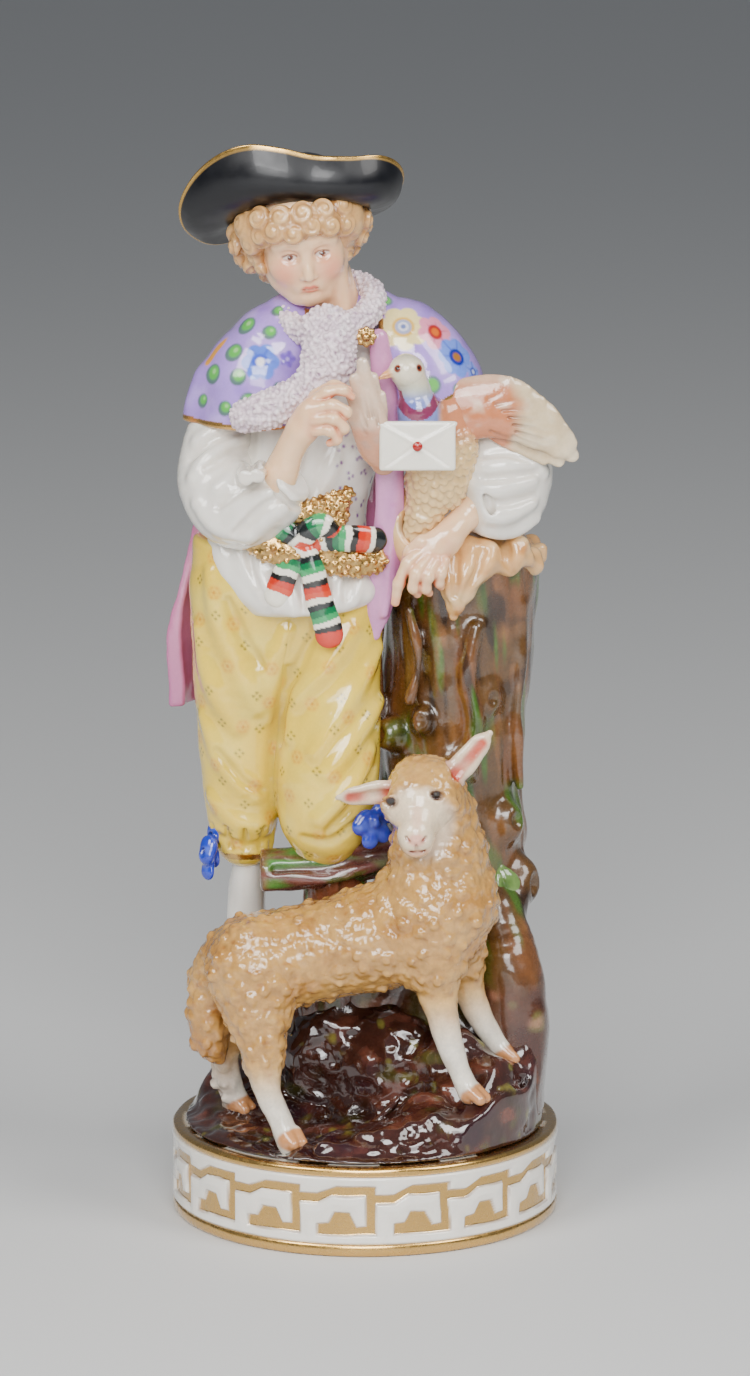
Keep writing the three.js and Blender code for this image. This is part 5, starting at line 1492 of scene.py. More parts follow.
def cape():
    clay = Clay((-47, -19, 190), (33, 21, 232), by_quality(0.36))
    right = [Limb([(-14, 2, 221, 6.4), (-18, 2, 216.5, 9.6), (-22.2, 1.5, 211, 12.2),
        (-25.6, 0.8, 204, 14.2), (-27.8, 0, 194, 14.2), (-28.6, 0, 188, 14)])]
    left = [Limb([(-3, 4, 222, 6), (3, 4, 217, 9.8), (10, 3.4, 210.8, 13.2), (14.6, 3, 203, 14.4),
        (16.4, 3, 194, 13.6), (16.6, 3, 188, 13)])]
    clay.add_all(right + left, 4)
    clay.add(Limb([(-38, -1, 206, 3.2), (-40, -1, 199, 3.6), (-41, -1, 192, 3.4)]), 4)
    # across the back
    clay.add(Limb([(-8, 6, 221, 6), (-6.5, 7.6, 211, 8.4), (-6, 8, 202, 9), (-6, 8, 192, 9)]), 4)
    X, Y, Z = clay.grid()
    clay.push(np.sin(np.arctan2(Y - 2, X + 8) * 9) * 0.55 * ease(214 - Z, 0, 20) + noise(X, Y, Z, 7,
        3) * 0.3, 3)
    clay.cut(Limb([(-26, -1, 199, 11.6), (-29, -1.6, 186, 12.2)]), 0.5)
    clay.cut(Limb([(14, 2, 199, 11), (17, 2, 186, 11.2)]), 0.5)
    cut_plane(clay, (-0.05, 0, -1), (-34, 0, 195.6), 0.7)
    n = unit((0.5, -0.12, -0.85))
    side = F32(n[0]) * (X - 15.7) + F32(n[1]) * (Y + 8) + F32(n[2]) * (Z - 199.0)
    clay.F = np.where(X > -6, smooth_max(clay.F, side.astype(F32), F32(0.7)), clay.F).astype(F32)
    # open at the front, the edges leaning apart downwards
    clay.cut(Limb([(-7, -16, 232, 3.0), (-7, -18, 222, 6.8), (-6, -18, 210, 9.4), (-5, -18, 190, 10.4)],
        steps=3), 0.8)
    clay.cut(Block((-5, -16, 205), (8.2, 18, 18), round=2), 0.8)
    for node, part in split(clay, [right, left], ["cape_right", "cape_left"]):
        skin = skin_of(part, "#bba3dc", clay)
        V = skin.V
        skin.mottle("#d5c3ec", 6, 3, -0.3, 0.9, 0.5)
        skin.mottle("#a488cc", 5, 13, 0.1, 0.9, 0.45, sign=-1)
        if node == "cape_right":
            for x, z, r in ((-28.4, 219.6, 2.3), (-22.8, 218.4, 1.6), (-31.6, 213.6, 2.2),
                (-36.4, 208.4, 2.3), (-30.4, 208.2, 1.9), (-27.8, 202.6, 1.9),
                            (-39.0, 201.6, 1.5), (-21.0, 223, 1.3), (-33.6, 200.6, 1.6),
                                (-20.5, 205.4, 1.5)):
                p, n = skin.front(x, z)
                skin.dab(p, r + 0.25, "#3b6b3a", 0.25, strength=0.8)
                skin.dab(p + (0.25, 0, 0.3), r * 0.75, "#74b56a", 0.4)
                skin.dab(p + (0.5, 0, 0.6), r * 0.3, "#b9dba8", 0.3, strength=0.7)
            flower(skin, skin.front(-25, 211.8), 3.9, 6, BLUE_FLOWER, 0.5)
            p, n = skin.front(-35.6, 213.6)
            skin.stroke([p + (-1.6, 0, -3.2), p, p + (1.6, 0, 3.4)], 1.2, "#e3b45c", 0.3)
            flower(skin, skin.front(-18.4, 212.4), 1.7, 5, ("#9a82cc", "#7f62ad", "#8d74c4", "#cdbde8"),
                0.5)
        else:
            flower(skin, skin.front(9.2, 219.6), 5.4, 7, ("#efe2b4", "#c9a24a", "#e0c070", "#8e97b8"), 0.42,
                0.3)
            p, n = skin.front(9.2, 219.6)
            for radius, colour in ((2.0, "#a9aec4"), (1.2, "#e9e6ea"), (0.7, "#7f89ad")):
                skin.dab(p, radius, colour, 0.3)
            flower(skin, skin.front(16.8, 218.2), 4.0, 6, ROSE_FLOWER, 0.48)
            flower(skin, skin.front(22.0, 212.2), 4.4, 7, ("#8ea6e4", "#5068c0", "#2b3f96", "#a07a46"),
                0.46, 0.2)
            flower(skin, skin.front(26.0, 208.2), 2.2, 5, ("#9fb0ea", "#5d74c8", "#4056a8", "#cfd6f2"), 0.5)
            for x, z, r in ((16.0, 206.0, 2.0), (5.0, 225.4, 1.6), (11.4, 203.0, 1.7), (22.4, 204.6, 1.5)):
                p, n = skin.front(x, z)
                skin.dab(p, r + 0.25, "#4f7f4a", 0.25, strength=0.7)
                skin.dab(p, r * 0.8, "#88c27a", 0.3)
        # painted all round as well: the same flowers, smaller
        back = scatter(skin, 6.4, 77, where=lambda p: p[1] > 6)
        for j, k in enumerate(back):
            at = (skin.V[k], skin.N[k])
            if j % 3 == 0:
                flower(skin, at, 2.6, 6, BLUE_FLOWER, 0.5)
            elif j % 3 == 1:
                flower(skin, at, 2.5, 6, ROSE_FLOWER, 0.5)
            else:
                skin.dab(at[0], 1.7, "#4f8a4a", 0.25, strength=0.8)
                skin.dab(at[0] + (0.2, 0, 0.3), 1.0, "#8cc480", 0.3)
        # gold along the hem and the opening
        hem = 195.6 - 0.05 * (V[:, 0] + 34)
        slope = 199.0 + (0.5 * (V[:, 0] - 15.7) - 0.12 * (V[:, 1] + 8)) / 0.85
        low = np.where(V[:, 0] > -6, np.maximum(hem, slope), hem)
        band = (V[:, 2] - low < 1.5).astype(float)
        skin.mix(band, "#c8803a")
        skin.gold(band * ease(noise(*V.T, 6, 7), -0.6, 0.1) * 0.9)
        front = (V[:, 1] < -4)
        opening = np.where(V[:, 0] < -6, np.abs(V[:, 0] + 13.6) < 0.9, np.abs(V[:, 0] - 3.6) < 0.8)
        skin.gold((front & opening & (noise(*V.T, 2.5, 9) > -0.35)).astype(float) * 0.9)
        piece(node + "_painted", skin, [node], "cloth")


def fur():
    clay = Clay((-34, -22, 189), (9, 17, 234), by_quality(0.34))
    collar = [Ring((-8.4, -1.6, 223.6), 10.8, 2.5, turn(24, -12, 0), 2.9)]
    tail = [Limb([(-9, -11, 219, 6.0, .6), (-8.6, -13, 213.5, 6.2, .6), (-11, -14.6, 208, 4.8, .7),
        (-16, -16.2, 204.6, 3.9, .8), (-22, -16.8, 201.4, 4.3, .8), (-28.4, -15.8, 199.4, 3.5, .9)])]
    clay.add_all(collar + tail, 2.0)
    P, N = clay.specks(by_quality(1.15), 3)
    rng = np.random.default_rng(8)
    clay.stud(P, N, rng.uniform(0.45, 0.85, len(P)), 0.15, 0.25)
    for node, part in split(clay, [collar, tail], ["fur_collar", "fur_tail"]):
        skin = skin_of(part, "#efe4e8", clay)
        skin.mottle("#d5c4d0", 2.4, 5, 0.0, 0.8, 0.6)
        skin.mottle("#b09aac", 1.2, 15, 0.45, 0.9, 0.8)
        skin.mottle("#fbf7f8", 1.6, 25, 0.3, 0.9, 0.7, sign=-1)
        piece(node + "_grogged", skin, [node], "fur")

    clay = Clay((-8, -18, 206), (8, -4, 226), 0.3)
    c = middle_of("brooch") + (0.3, -2.2, -0.2)
    clay.add(Egg(c, (2.0, 1.2, 2.0)))
    for a in np.arange(8) * math.pi / 4:
        clay.add(Egg(c + (1.9 * math.cos(a), -0.4, 1.9 * math.sin(a)), (0.75, 0.7, 0.75)), 0.3)
    clay.add(Egg(c + (0, -1.2, 0), (0.9, 0.8, 0.9)), 0.15)
    skin = skin_of(clay, GOLD, whole=True)
    V = skin.V
    skin.gold(np.ones(len(V)))
    # brown in the rosette's hollows: painted shade
    skin.mix(skin.pit * 0.6, "#6d3c12")
    piece("brooch_rosette", skin, ["brooch"], "gilt")


STRIPES = ["#f1ede2", "#1c1a18", "#c9502f", "#d4694a", "#f1ede2", "#161a1a", "#1f6a4c", "#4f9c70"]


def ribbon(clay_box, paths, name, node):
    """Striped ribbon: each path's stripes run across it."""
    clay = Clay(*clay_box, by_quality(0.3))
    prims = []
    for path, face in paths:
        prim = Limb(path, face=face, steps=8)
        prims.append(prim)
        clay.add(prim, 0.4)
    X, Y, Z = clay.grid()
    clay.push(noise(X, Y, Z, (3, 3, 3), 3) * 0.15, 2)
    skin = skin_of(clay, "#f1ede2")
    V = skin.V
    best = np.full(len(V), 1e9)
    along = np.zeros(len(V))
    for prim in prims:
        run = 0.0
        for a, b in zip(prim.p[:-1], prim.p[1:]):
            ab = b - a
            length = np.linalg.norm(ab)
            t = np.clip((V - a) @ ab / max(length ** 2, 1e-9), 0, 1)
            d = np.linalg.norm(V - a - t[:, None] * ab, axis=1)
            near = d < best
            best = np.where(near, d, best)
            along = np.where(near, run + t * length, along)
            run += length
    u = (3 + along / STRIPE_WIDTH + noise(*V.T, 3, 4) * 0.25) % len(STRIPES)
    for j, colour in enumerate(STRIPES):
        share = ((u >= j) & (u < j + 1)).astype(float)
        skin.mix(share, colour)
    piece(name, skin, [node], "cloth")


def sash():
    ribbon(((-30, -21, 162), (6, -8, 180)),
           [([(-15, -15.4, 168.6, 2.0), (-18, -16.4, 171, 2.9, .5), (-22, -15.6, 173.2, 3.0, .45),
               (-26, -13.6, 172.4, 2.2, .5)], (0.1, -1, 0.1)),
            ([(-14.6, -15.4, 168.6, 2.0), (-13.4, -17, 171.6, 3.0, .5), (-10.6, -17, 173.2, 3.0, .5),
                (-8, -15.6, 170.4, 2.4, .5), (-12, -14.6, 168, 1.6, .6)], (0, -1, 0.1)),
            ([(-12, -15.4, 168.4, 2.2, .6), (-6.6, -15.8, 169.6, 3.2, .4), (-1.6, -14.6, 169.4, 3.4, .4),
                (2.2, -12.6, 168.8, 3.2, .4)], (0.1, -1, 0))],
           "sash_bow_striped", "sash_bow")
    ribbon(((-29, -22, 140), (0, -8, 174)),
           [([(-15.4, -15.4, 168.6, 2.3, .8), (-17.6, -16.4, 164.6, 2.9, .45),
               (-19.4, -16.6, 160.4, 3.2, .4), (-21.0, -16.2, 156.2, 3.3, .4)], (0, -1, 0.1)),
            ([(-14.2, -15.4, 168, 2.3, .8), (-12.6, -16.8, 162, 3.1, .45), (-11.0, -16.8, 155, 3.3, .4),
                (-9.0, -16.6, 148.4, 3.4, .4), (-8.6, -16.4, 146.4, 3.4, .4)], (0, -1, 0.1))],
           "sash_tails_striped", "sash_tails")


def belt():
    clay = Clay((-39, -22, 155), (8, 18, 189), by_quality(0.36))
    band = Limb([(-17, .5, 163.4, 17.6, .8), (-17, .5, 167.4, 17.4, .8)])
    core = Limb([(-17, .5, 150, 16.2, .8), (-17, .5, 180, 16.0, .8)])
    clay.add(band)
    clay.cut(core, 0.3)
    cut_plane(clay, (0, 0, -1), (0, 0, 162.6), 0.6)
    cut_plane(clay, (0, 0, 1), (0, 0, 168.2), 0.6)
    for path in ([(-9, -15.2, 175.6, 2.2), (-9.4, -15.2, 171, 2.6), (-9, -14.2, 165, 3.2)],
                 [(-33.6, -7.6, 174.5, 2.0), (-29, -12.4, 171, 3.4), (-23, -15.4, 167.6, 3.8),
                     (-18, -16.4, 166, 2.6)],
                 [(-4, -13.8, 180.5, 1.4), (-8, -14.8, 177.8, 2.8), (-13, -15.8, 176.2, 2.8),
                     (-17, -15.8, 175, 1.8)],
                 [(-5, -14.0, 178, 1.6), (-6.6, -14.8, 174.5, 2.4), (-8, -15.2, 171, 2.4)],
                 [(-10, -14.4, 163.8, 2.8), (-4, -13.6, 163.4, 3.4), (2.2, -11.0, 163.4, 3.2)]):
        clay.add(Limb([(x, y, z, r, 0.55) for x, y, z, r in path], face=(0, -1, 0.1)), 1.0)
    P, N = clay.specks(1.5, 5)
    rng = np.random.default_rng(5)
    clay.stud(P, N, rng.uniform(0.35, 0.8, len(P)), 0.1, 0.4)
    skin = skin_of(clay, GOLD)
    V = skin.V
    skin.gold(np.ones(len(V)))
    skin.mottle("#a87a34", 2.2, 5, 0.1, 0.8, 0.6)
    piece("belt_gilded", skin, ["belt"], "gilt")


# ---------------------------------------------------------------- legs
def lower_legs():
    fine = by_quality(0.4)
    clay = Clay((-35, -3, 42), (-22, 20, 93), fine)
    clay.add(Limb([(-28, 14.5, 44, 3.0), (-28.2, 13.6, 50, 2.9), (-28.8, 11.5, 59, 4.0),
        (-29.2, 9, 68, 4.9), (-29.2, 6, 77, 4.6), (-28.8, 3.4, 86, 3.9), (-28.8, 2.6, 92, 3.8)]))
    clay.push(noise(*clay.grid(), 6, 3) * 0.15, 2)
    skin = skin_of(clay, WHITE, whole=True)
    skin.stroke([(-32.6, 7, 84), (-33.6, 8.4, 74), (-32.4, 11, 62), (-30.6, 14, 48)], 0.3, "#7d86b8", 0.25,
        strength=0.6)
    piece("stocking_right_turned", skin, ["stocking_right"], "white")

    clay = Clay((-17, -2, 86), (-2, 26, 106), fine)
    clay.add(Limb([(-9, 4, 98, 5.2), (-9.6, 12, 97.4, 5.0), (-10, 20, 96.6, 3.7), (-10, 23, 97, 3.2)]))
    clay.push(noise(*clay.grid(), 6, 3) * 0.15, 2)
    piece("stocking_left_turned", skin_of(clay, WHITE, whole=True), ["stocking_left"],
        "white")

    def shoe(name, node, heel, toe, up, low, high):
        clay = Clay(low, high, fine)
        heel, toe, up = (np.asarray(v, float) for v in (heel, toe, up))
        run = toe - heel
        clay.add(Limb([(*heel, 3.4), (*(heel + run * 0.5), 3.5), (*(heel + run * 0.85), 3.3), (*toe, 2.2)]))
        # the heel
        clay.add(Limb([(*(heel - up * 1.0), 3.0), (*(heel - up * 3.4), 2.6)], spline=False), 0.8)
        clay.add(Limb([(*(heel + up * 2), 3.0), (*(heel + run * 0.35 + up * 2.4), 2.2)], spline=False), 1.4)
        clay.cut(Ring(heel + up * 3.4, 2.9, 0.5, frame_for(up).T), 0.5)
        clay.add(Block(heel + run * 0.5 + up * 3.3, (1.7, 1.0, 1.3), round=0.4), 0.5)
        skin = skin_of(clay, "#15151c")
        V = skin.V
        skin.gold((1 - ease(skin.away(heel + run * 0.5 + up * 3.6), 1.6, 2.0)))
        block = ((V - heel) @ up < -2.6) & ((V - heel) @ unit(run) < 3.2)
        skin.mix(block * 0.9, "#8a3a2a")
        piece(name, skin, [node], "black")

    shoe("shoe_right_heeled", "shoe_right", (-28, 14.6, 43.4), (-29.4, 3.4, 41.8), (0, 0, 1), (-36, -2, 36),
        (-22, 21, 52))
    shoe("shoe_left_heeled", "shoe_left", (-10, 24.4, 97.4), (-10, 27, 87), (0, -1, 0), (-17, 15, 81),
        (-3, 33, 104))

    def bow(name, node, centre, spread, drop, out):
        centre, spread, drop, out = (np.asarray(v, float) for v in (centre, spread, drop, out))
        reach = np.abs(spread) + np.abs(drop) + np.abs(out) + 5
        clay = Clay(centre - reach, centre + reach, by_quality(0.33))
        clay.add(Egg(centre + out * 0.8, (1.7, 1.7, 1.8)))
        for s in (-1, 1):
            tip = centre + spread * s
            clay.add(Limb([(*centre, 1.2, .7), (*(centre + spread * s * 0.55 + drop * -0.22), 2.6, .6),
                (*tip, 2.3, .6)], face=out), 0.7)
            clay.add(Limb([(*centre, 1.1, .7), (*(centre + spread * s * 0.35 + drop * 0.6), 1.9, .5),
                (*(centre + spread * s * 0.5 + drop), 2.1, .45)], face=out), 0.7)
            clay.cut(Limb([(*(centre + spread * s * 0.35 + out * 1.9), .4),
                (*(centre + spread * s * 0.85 + out * 2.2), .6)], spline=False), 0.7)
        skin = skin_of(clay, "#3c57bb")
        skin.mottle("#7f95e2", 2.6, 5, -0.1, 0.9, 0.7)
        # dark blue in the folds: painted shade
        skin.mix(skin.pit * 0.8, "#1d2f86")
        piece(name, skin, [node], "cloth")

    bow("garter_bow_right_tied", "garter_bow_right", (-37.4, -2.0, 91.6), (1.4, 2.2, 2.6),
        (-0.4, -0.6, -5.4), (-0.7, -0.7, 0))
    bow("garter_bow_left_tied", "garter_bow_left", (2.2, -12.6, 99.8), (3.2, 1.6, 1.2), (0.6, -0.6, -4.2),
        (0.3, -1, 0))


# ---------------------------------------------------------------- hands
def hand(name, node, arm, palms, fingers, low, high):
    clay = Clay(low, high, by_quality(0.27))
    clay.add(Limb(arm))
    for centre, radii, rot in palms:
        clay.add(Egg(centre, radii, rot), 2.4)
    for path in fingers:
        clay.add(Limb(path, steps=4), 0.55)
        for joint in path[1:-1]:  # knuckles
            clay.add(Egg(joint[:3], (joint[3] * 1.12,) * 3), 0.8)
    skin = skin_of(clay, FLESH)
    for path in fingers:
        tip = np.array(path[-1][:3])
        skin.dab(tip, 2.0, "#eda88c", 1.0, strength=0.5)
        skin.dab(path[0][:3], 2.0, "#eeb198", 1.0, strength=0.25)
        back = tip - np.array(path[-2][:3])
        out = unit(np.cross(np.cross(back, (0, -1, 0.3)), back)) * -1
        skin.dab(tip - out * -1.0, 0.7, "#f6d9cc", 0.2, strength=0.7)  # the nail
    # darker, redder flesh between the fingers and in creases: painted shade
    skin.mix(skin.pit * 0.75, "#cf7f5c")
    piece(name, skin, [node], "flesh")


def hands():
    hand("hand_right_pinching", "hand_right",
         [(-22.4, -16.2, 179.6, 4.8), (-20.2, -18, 185.6, 4.3), (-18.0, -19.4, 191.4, 3.6),
             (-15.6, -20.6, 196, 3.6)],
         [((-13.4, -21.2, 199.2), (4.0, 2.8, 5.0), turn(0, 28, 0)),
             ((-12, -22.4, 201.2), (3.2, 2.4, 3.2), turn(0, 28, 0))],
         [[(-12.6, -21.6, 203.4, 1.65), (-9.0, -22.6, 206.0, 1.4), (-5.4, -23.0, 206.6, 1.2),
             (-3.2, -22.4, 205.0, 1.0)],
          [(-12, -23.2, 202.0, 1.65), (-7.6, -24.6, 203.2, 1.4), (-4.4, -24.4, 201.6, 1.2),
              (-5.6, -23.4, 199.6, 1.05)],
          [(-11.8, -23.8, 199.6, 1.6), (-7.6, -25.4, 200.2, 1.35), (-5.0, -24.8, 197.8, 1.2),
              (-6.8, -23.8, 196.2, 1.05)],
          [(-12, -23.4, 197.0, 1.4), (-8.4, -25.0, 197.2, 1.2), (-6.6, -24.4, 195.0, 1.05),
              (-8.4, -23.4, 194.0, 0.95)],
          [(-15, -20.8, 200, 1.8), (-11.6, -20.2, 204.8, 1.5), (-7.4, -20.6, 207.4, 1.25),
              (-4.0, -21.2, 206.4, 1.05)]],
         (-30, -30, 172), (2, -10, 212))
    hand("hand_left_hanging", "hand_left",
         [(30, -2.6, 179.4, 4.6), (26.6, -5.2, 176, 4.3), (22.8, -8, 172.2, 3.5), (20.6, -9.6, 170, 3.7)],
         [((17.6, -11.4, 167.0), (5.2, 2.6, 4.6), turn(0, -35, 0) @ turn(20, 0, 0)),
             ((15.6, -12.6, 165.2), (3.8, 2.3, 3.2), turn(0, -35, 0))],
         [[(14.2, -13.2, 166.4, 1.7), (10.4, -14.4, 163.4, 1.5), (8.2, -13.6, 158.4, 1.35),
             (7.3, -12.8, 153.6, 1.1)],
          [(15.2, -14.0, 164.6, 1.7), (12.4, -15.6, 161.2, 1.5), (11.6, -14.8, 157.6, 1.25),
              (12.6, -13.4, 155.8, 1.1)],
          [(17.0, -14.2, 163.8, 1.65), (15.2, -15.6, 160.6, 1.45), (14.6, -14.6, 157.4, 1.2),
              (15.4, -13.2, 156, 1.05)],
          [(19.0, -13.6, 163.8, 1.5), (18.2, -14.8, 161.2, 1.3), (17.8, -14.0, 158.6, 1.1),
              (18.2, -12.8, 157.4, 1.0)],
          [(19, -12, 169, 1.6), (13.6, -13, 168.4, 1.5), (10.6, -12.6, 165.8, 1.25),
              (9.6, -11.6, 163, 1.05)]],
         (4, -20, 149), (38, 4, 186))


# ---------------------------------------------------------------- head, hair and hat
def head():
    clay = Clay((-32, -22, 208), (6, 16, 258), by_quality(0.26))
    H = middle_of("head")
    # turned and bent to the letter, rolled as the hair and brim slope
    M = turn(0, 0, 6) @ turn(17, 0, 0) @ turn(0, -8, 0)

    def put(u, f, w):
        """A place on the head: across, forward and up from its middle."""
        return H + M @ np.array([u, -f, w])

    def limb(points, **kw):
        return Limb([(*put(*p[:3]), p[3]) for p in points], **kw)

    def ball(u, f, w, radii, rot=None):
        a, b, c = (radii,) * 3 if np.isscalar(radii) else radii
        return Egg(put(u, f, w), (a, b, c), M if rot is None else M @ rot)

    clay.add(ball(0, -0.8, 4.0, (10.4, 11.4, 10.6)))
    clay.add(ball(0, 1.6, -1.2, (9.2, 8.6, 10.4)), 3)
    clay.add(limb([(0, 2.6, -5, 8.0), (0, 4.6, -9.2, 5.2), (0, 6.0, -11.6, 3.1)]), 3)
    for s in (-1, 1):
        clay.add(ball(5.2 * s, 6.4, -3.6, (3.2, 2.8, 3.2)), 3)
        clay.add(limb([(8.4 * s, 1.2, -4.5, 2.0), (6.8 * s, 3.4, -8.2, 2.0), (3.4 * s, 6.0, -11.2, 1.9)]),
            3)
        clay.add(limb([(6.8 * s, 7.4, 2.6, .7), (4.0 * s, 9.1, 3.3, .8), (1.6 * s, 9.5, 2.9, .7)]), 2)
    # sockets, eyes and lids
    for s in (-1, 1):
        clay.cut(ball(3.9 * s, 10.3, 0.2, (2.3, 1.5, 1.45)), 1.5)
        clay.add(ball(3.9 * s, 7.6, 0.0, (1.95, 1.75, 1.55)), 0.2)
        clay.add(limb([(2.1 * s, 8.7, 0.0, .34), (3.0 * s, 9.35, 0.95, .42), (4.2 * s, 9.35, 1.15, .44),
            (5.9 * s, 8.1, 0.15, .36)], steps=6), 0.45)
        clay.add(limb([(2.2 * s, 8.7, -0.5, .28), (3.6 * s, 9.15, -1.15, .32), (5.6 * s, 8.2, -0.5, .28)],
            steps=6), 0.5)
    clay.add(limb([(0, 9.0, 2.2, 1.0), (0, 10.2, -0.8, 1.0), (0, 11.3, -3.2, 1.15), (0, 11.7, -4.6, 1.25)]),
        1.3)
    for s in (-1, 1):
        clay.add(ball(1.3 * s, 10.5, -5.0, (0.9, 1.1, 0.8)), 0.8)
        clay.cut(limb([(0.75 * s, 11.4, -5.9, .3), (0.95 * s, 10.8, -5.3, .35)], spline=False), 0.35)
    # mouth
    clay.add(ball(0, 8.4, -8.2, (3.0, 1.9, 2.2)), 2)
    clay.add(limb([(-2.4, 9.2, -7.9, .32), (-0.95, 10.3, -7.7, .5), (0, 10.3, -7.9, .45),
        (0.95, 10.3, -7.7, .5), (2.4, 9.2, -7.9, .32)], steps=6), 0.6)
    clay.add(limb([(-2.0, 9.1, -8.7, .3), (0, 10.1, -9.0, .7), (2.0, 9.1, -8.7, .3)], steps=6), 0.6)
    clay.cut(limb([(-2.6, 9.5, -8.4, .16), (-1.0, 10.9, -8.35, .2), (0, 11.1, -8.4, .2),
        (1.0, 10.9, -8.35, .2), (2.6, 9.5, -8.4, .16)], steps=6), 0.3)
    clay.cut(limb([(-1.6, 10.2, -10.0, .35), (0, 10.8, -10.1, .5), (1.6, 10.2, -10.0, .35)]), 1.4)
    clay.add(ball(0, 7.6, -11.6, (2.5, 2.0, 1.8)), 1.6)
    # ears
    for s in (-1, 1):
        clay.add(ball(10.0 * s, -0.6, -0.8, (1.0, 2.2, 3.3), turn(12, 0, 18 * s)), 0.6)
        clay.add(limb([(10.2 * s, 0.8, 0.5, .45), (11.3 * s, -0.6, 2.2, .55), (11.6 * s, -2.4, 1.4, .55),
            (11.2 * s, -2.2, -1.2, .5), (10.3 * s, -0.2, -3.4, .75)], steps=6), 0.4)
        clay.cut(ball(11.4 * s, -0.4, -0.3, (0.9, 1.0, 1.7), turn(12, 0, 18 * s)), 0.5)
    clay.add(Limb([(-5, 2.2, 210, 7), (-5.6, 2, 217, 6.4), (-7.0, 1.6, 224, 6.0), (-10, 1.4, 232, 6.4)]),
        2.2)
    clay.add(Limb([(-3, -3.2, 215, 1.4), (-5, -3.8, 222, 1.5), (-6.0, -3.2, 230, 1.4)]), 2.5)
    skin = skin_of(clay, FLESH)
    V = skin.V
    for s in (-1, 1):
        skin.dab(put(5.3 * s, 8.6, -3.9), 3.1, "#eb9d86", 2.3, strength=0.6)
        skin.dab(put(10.6 * s, -0.4, -0.8), 3.4, "#eeae94", 1.6, strength=0.5)
        eye = put(3.9 * s, 9.3, -0.05)
        local = (V - eye) @ M
        inside = ((local[:, 0] / 1.65) ** 2 + ((local[:, 2] + 0.02) / 0.82) ** 2) < 1
        near = inside & (local[:, 1] > -1.4) & (local[:, 1] < 1.2)
        skin.mix(near * 0.95, "#f2ece4")
        iris = near & (np.hypot(local[:, 0] - 0.1, (local[:, 2] + 0.08)) < 0.74)
        skin.mix(iris * 1.0, "#6b4426")
        skin.mix((near & (np.hypot(local[:, 0] - 0.1, (local[:, 2] + 0.08)) < 0.38)) * 1.0, "#120c0a")
        # a white dot in each eye: a painted highlight
        skin.mix((near & (np.hypot(local[:, 0] + 0.15, (local[:, 2] - 0.22)) < 0.16)) * 1.0, "#ffffff")
        skin.stroke([put(2.1 * s, 9.2, 0.0), put(3.0 * s, 9.9, 0.75), put(4.2 * s, 9.8, 0.85),
            put(5.9 * s, 8.5, 0.0)], 0.28, "#6f4630", 0.18, strength=0.85)
        skin.stroke([put(2.6 * s, 9.4, -0.75), put(3.9 * s, 9.8, -0.9), put(5.3 * s, 8.8, -0.5)], 0.2,
            "#c08468", 0.2, strength=0.6)
        skin.stroke([put(1.9 * s, 10.5, 2.9), put(3.9 * s, 10.2, 3.3), put(6.3 * s, 8.4, 2.7)], 0.34,
            "#b58a5e", 0.35, strength=0.6)
    skin.stroke([put(-2.1, 9.9, -8.0), put(-0.9, 10.9, -7.7), put(0, 10.9, -7.9), put(0.9, 10.9, -7.7),
        put(2.1, 9.9, -8.0)], 0.46, "#cf6a55", 0.3, strength=0.85)
    skin.stroke([put(-1.6, 9.9, -8.8), put(0, 10.8, -9.1), put(1.6, 9.9, -8.8)], 0.56, "#d77c66", 0.35,
        strength=0.8)
    skin.stroke([put(-2.5, 9.7, -8.4), put(-1.0, 10.9, -8.35), put(0, 11.0, -8.4), put(1.0, 10.9, -8.35),
        put(2.5, 9.7, -8.4)], 0.17, "#8e2f26", 0.12, strength=0.9)
    for s in (-1, 1):
        skin.dab(put(0.95 * s, 11.2, -5.7), 0.4, "#c27058", 0.25, strength=0.7)
    # warmer, darker flesh in the hollows: painted shade
    skin.mix(skin.pit * 0.35, "#d9906e")
    piece("head_and_neck", skin, ["head", "neck"], "flesh")

    # hair: a mass under the hat, then curls on it
    clay = Clay((-37, -19, 226), (6, 20, 262), by_quality(0.3))
    clay.add(Egg(H + (0.2, 4.6, 5.0), (15.0, 12.6, 11.6), turn(14, 6, 0)))
    clay.add(Egg(H + (-1.5, 8.5, -3), (11.5, 7.5, 9), turn(10, 6, 0)), 4)
    for s in (-1, 1):
        clay.add(Egg(put(10.8 * s, 1.0, 4.8), (4.4, 5.2, 5.4)), 3)
    clay.cut(ball(0, 9.5, -4.0, (9.0, 8.6, 9.8)), 1.2)
    clay.cut(ball(0, 4.0, -11.0, (12.0, 9.0, 8.0)), 1.2)
    clay.cut(Limb([(-5, 2, 214, 8), (-9, 1, 228, 7)]), 1)
    big = [(put(u, f, w), r) for u, f, w, r in (
        (-9.6, 6.8, 5.4, 3.1), (-6.6, 9.2, 7.2, 3.2), (-2.2, 10.6, 6.6, 3.2), (2.2, 10.2, 7.8, 3.1),
            (6.4, 8.9, 6.6, 3.3), (9.8, 6.0, 5.2, 3.2),
        (-12.0, 4.0, 2.4, 3.2), (11.8, 2.6, 2.4, 2.8), (-11.6, 2.2, -1.6, 2.9), (12.2, -1.0, 4.6, 3.2),
            (-13.2, 0.6, 6.2, 3.4), (-4.6, 8.6, 10.4, 3.2),
        (0.4, 9.4, 10.8, 3.2), (5.4, 7.6, 10.2, 3.2), (-9.6, 5.6, 9.4, 3.2), (9.6, 4.4, 9.2, 3.2),
            (-14.2, -3.4, 1.0, 3.2), (13.2, -5.0, 1.4, 3.0),
        (-10.8, 3.6, -4.4, 2.0), (-13.0, -2.4, -3.6, 2.8))]
    for p, r in big:
        curl(clay, p, unit(p - H - (0, 5, 2)), r, int(p[0] * 10) % 7)
    P, N = clay.specks(3.5, 4, where=lambda P: P[:, 1] > H[1] + 1)
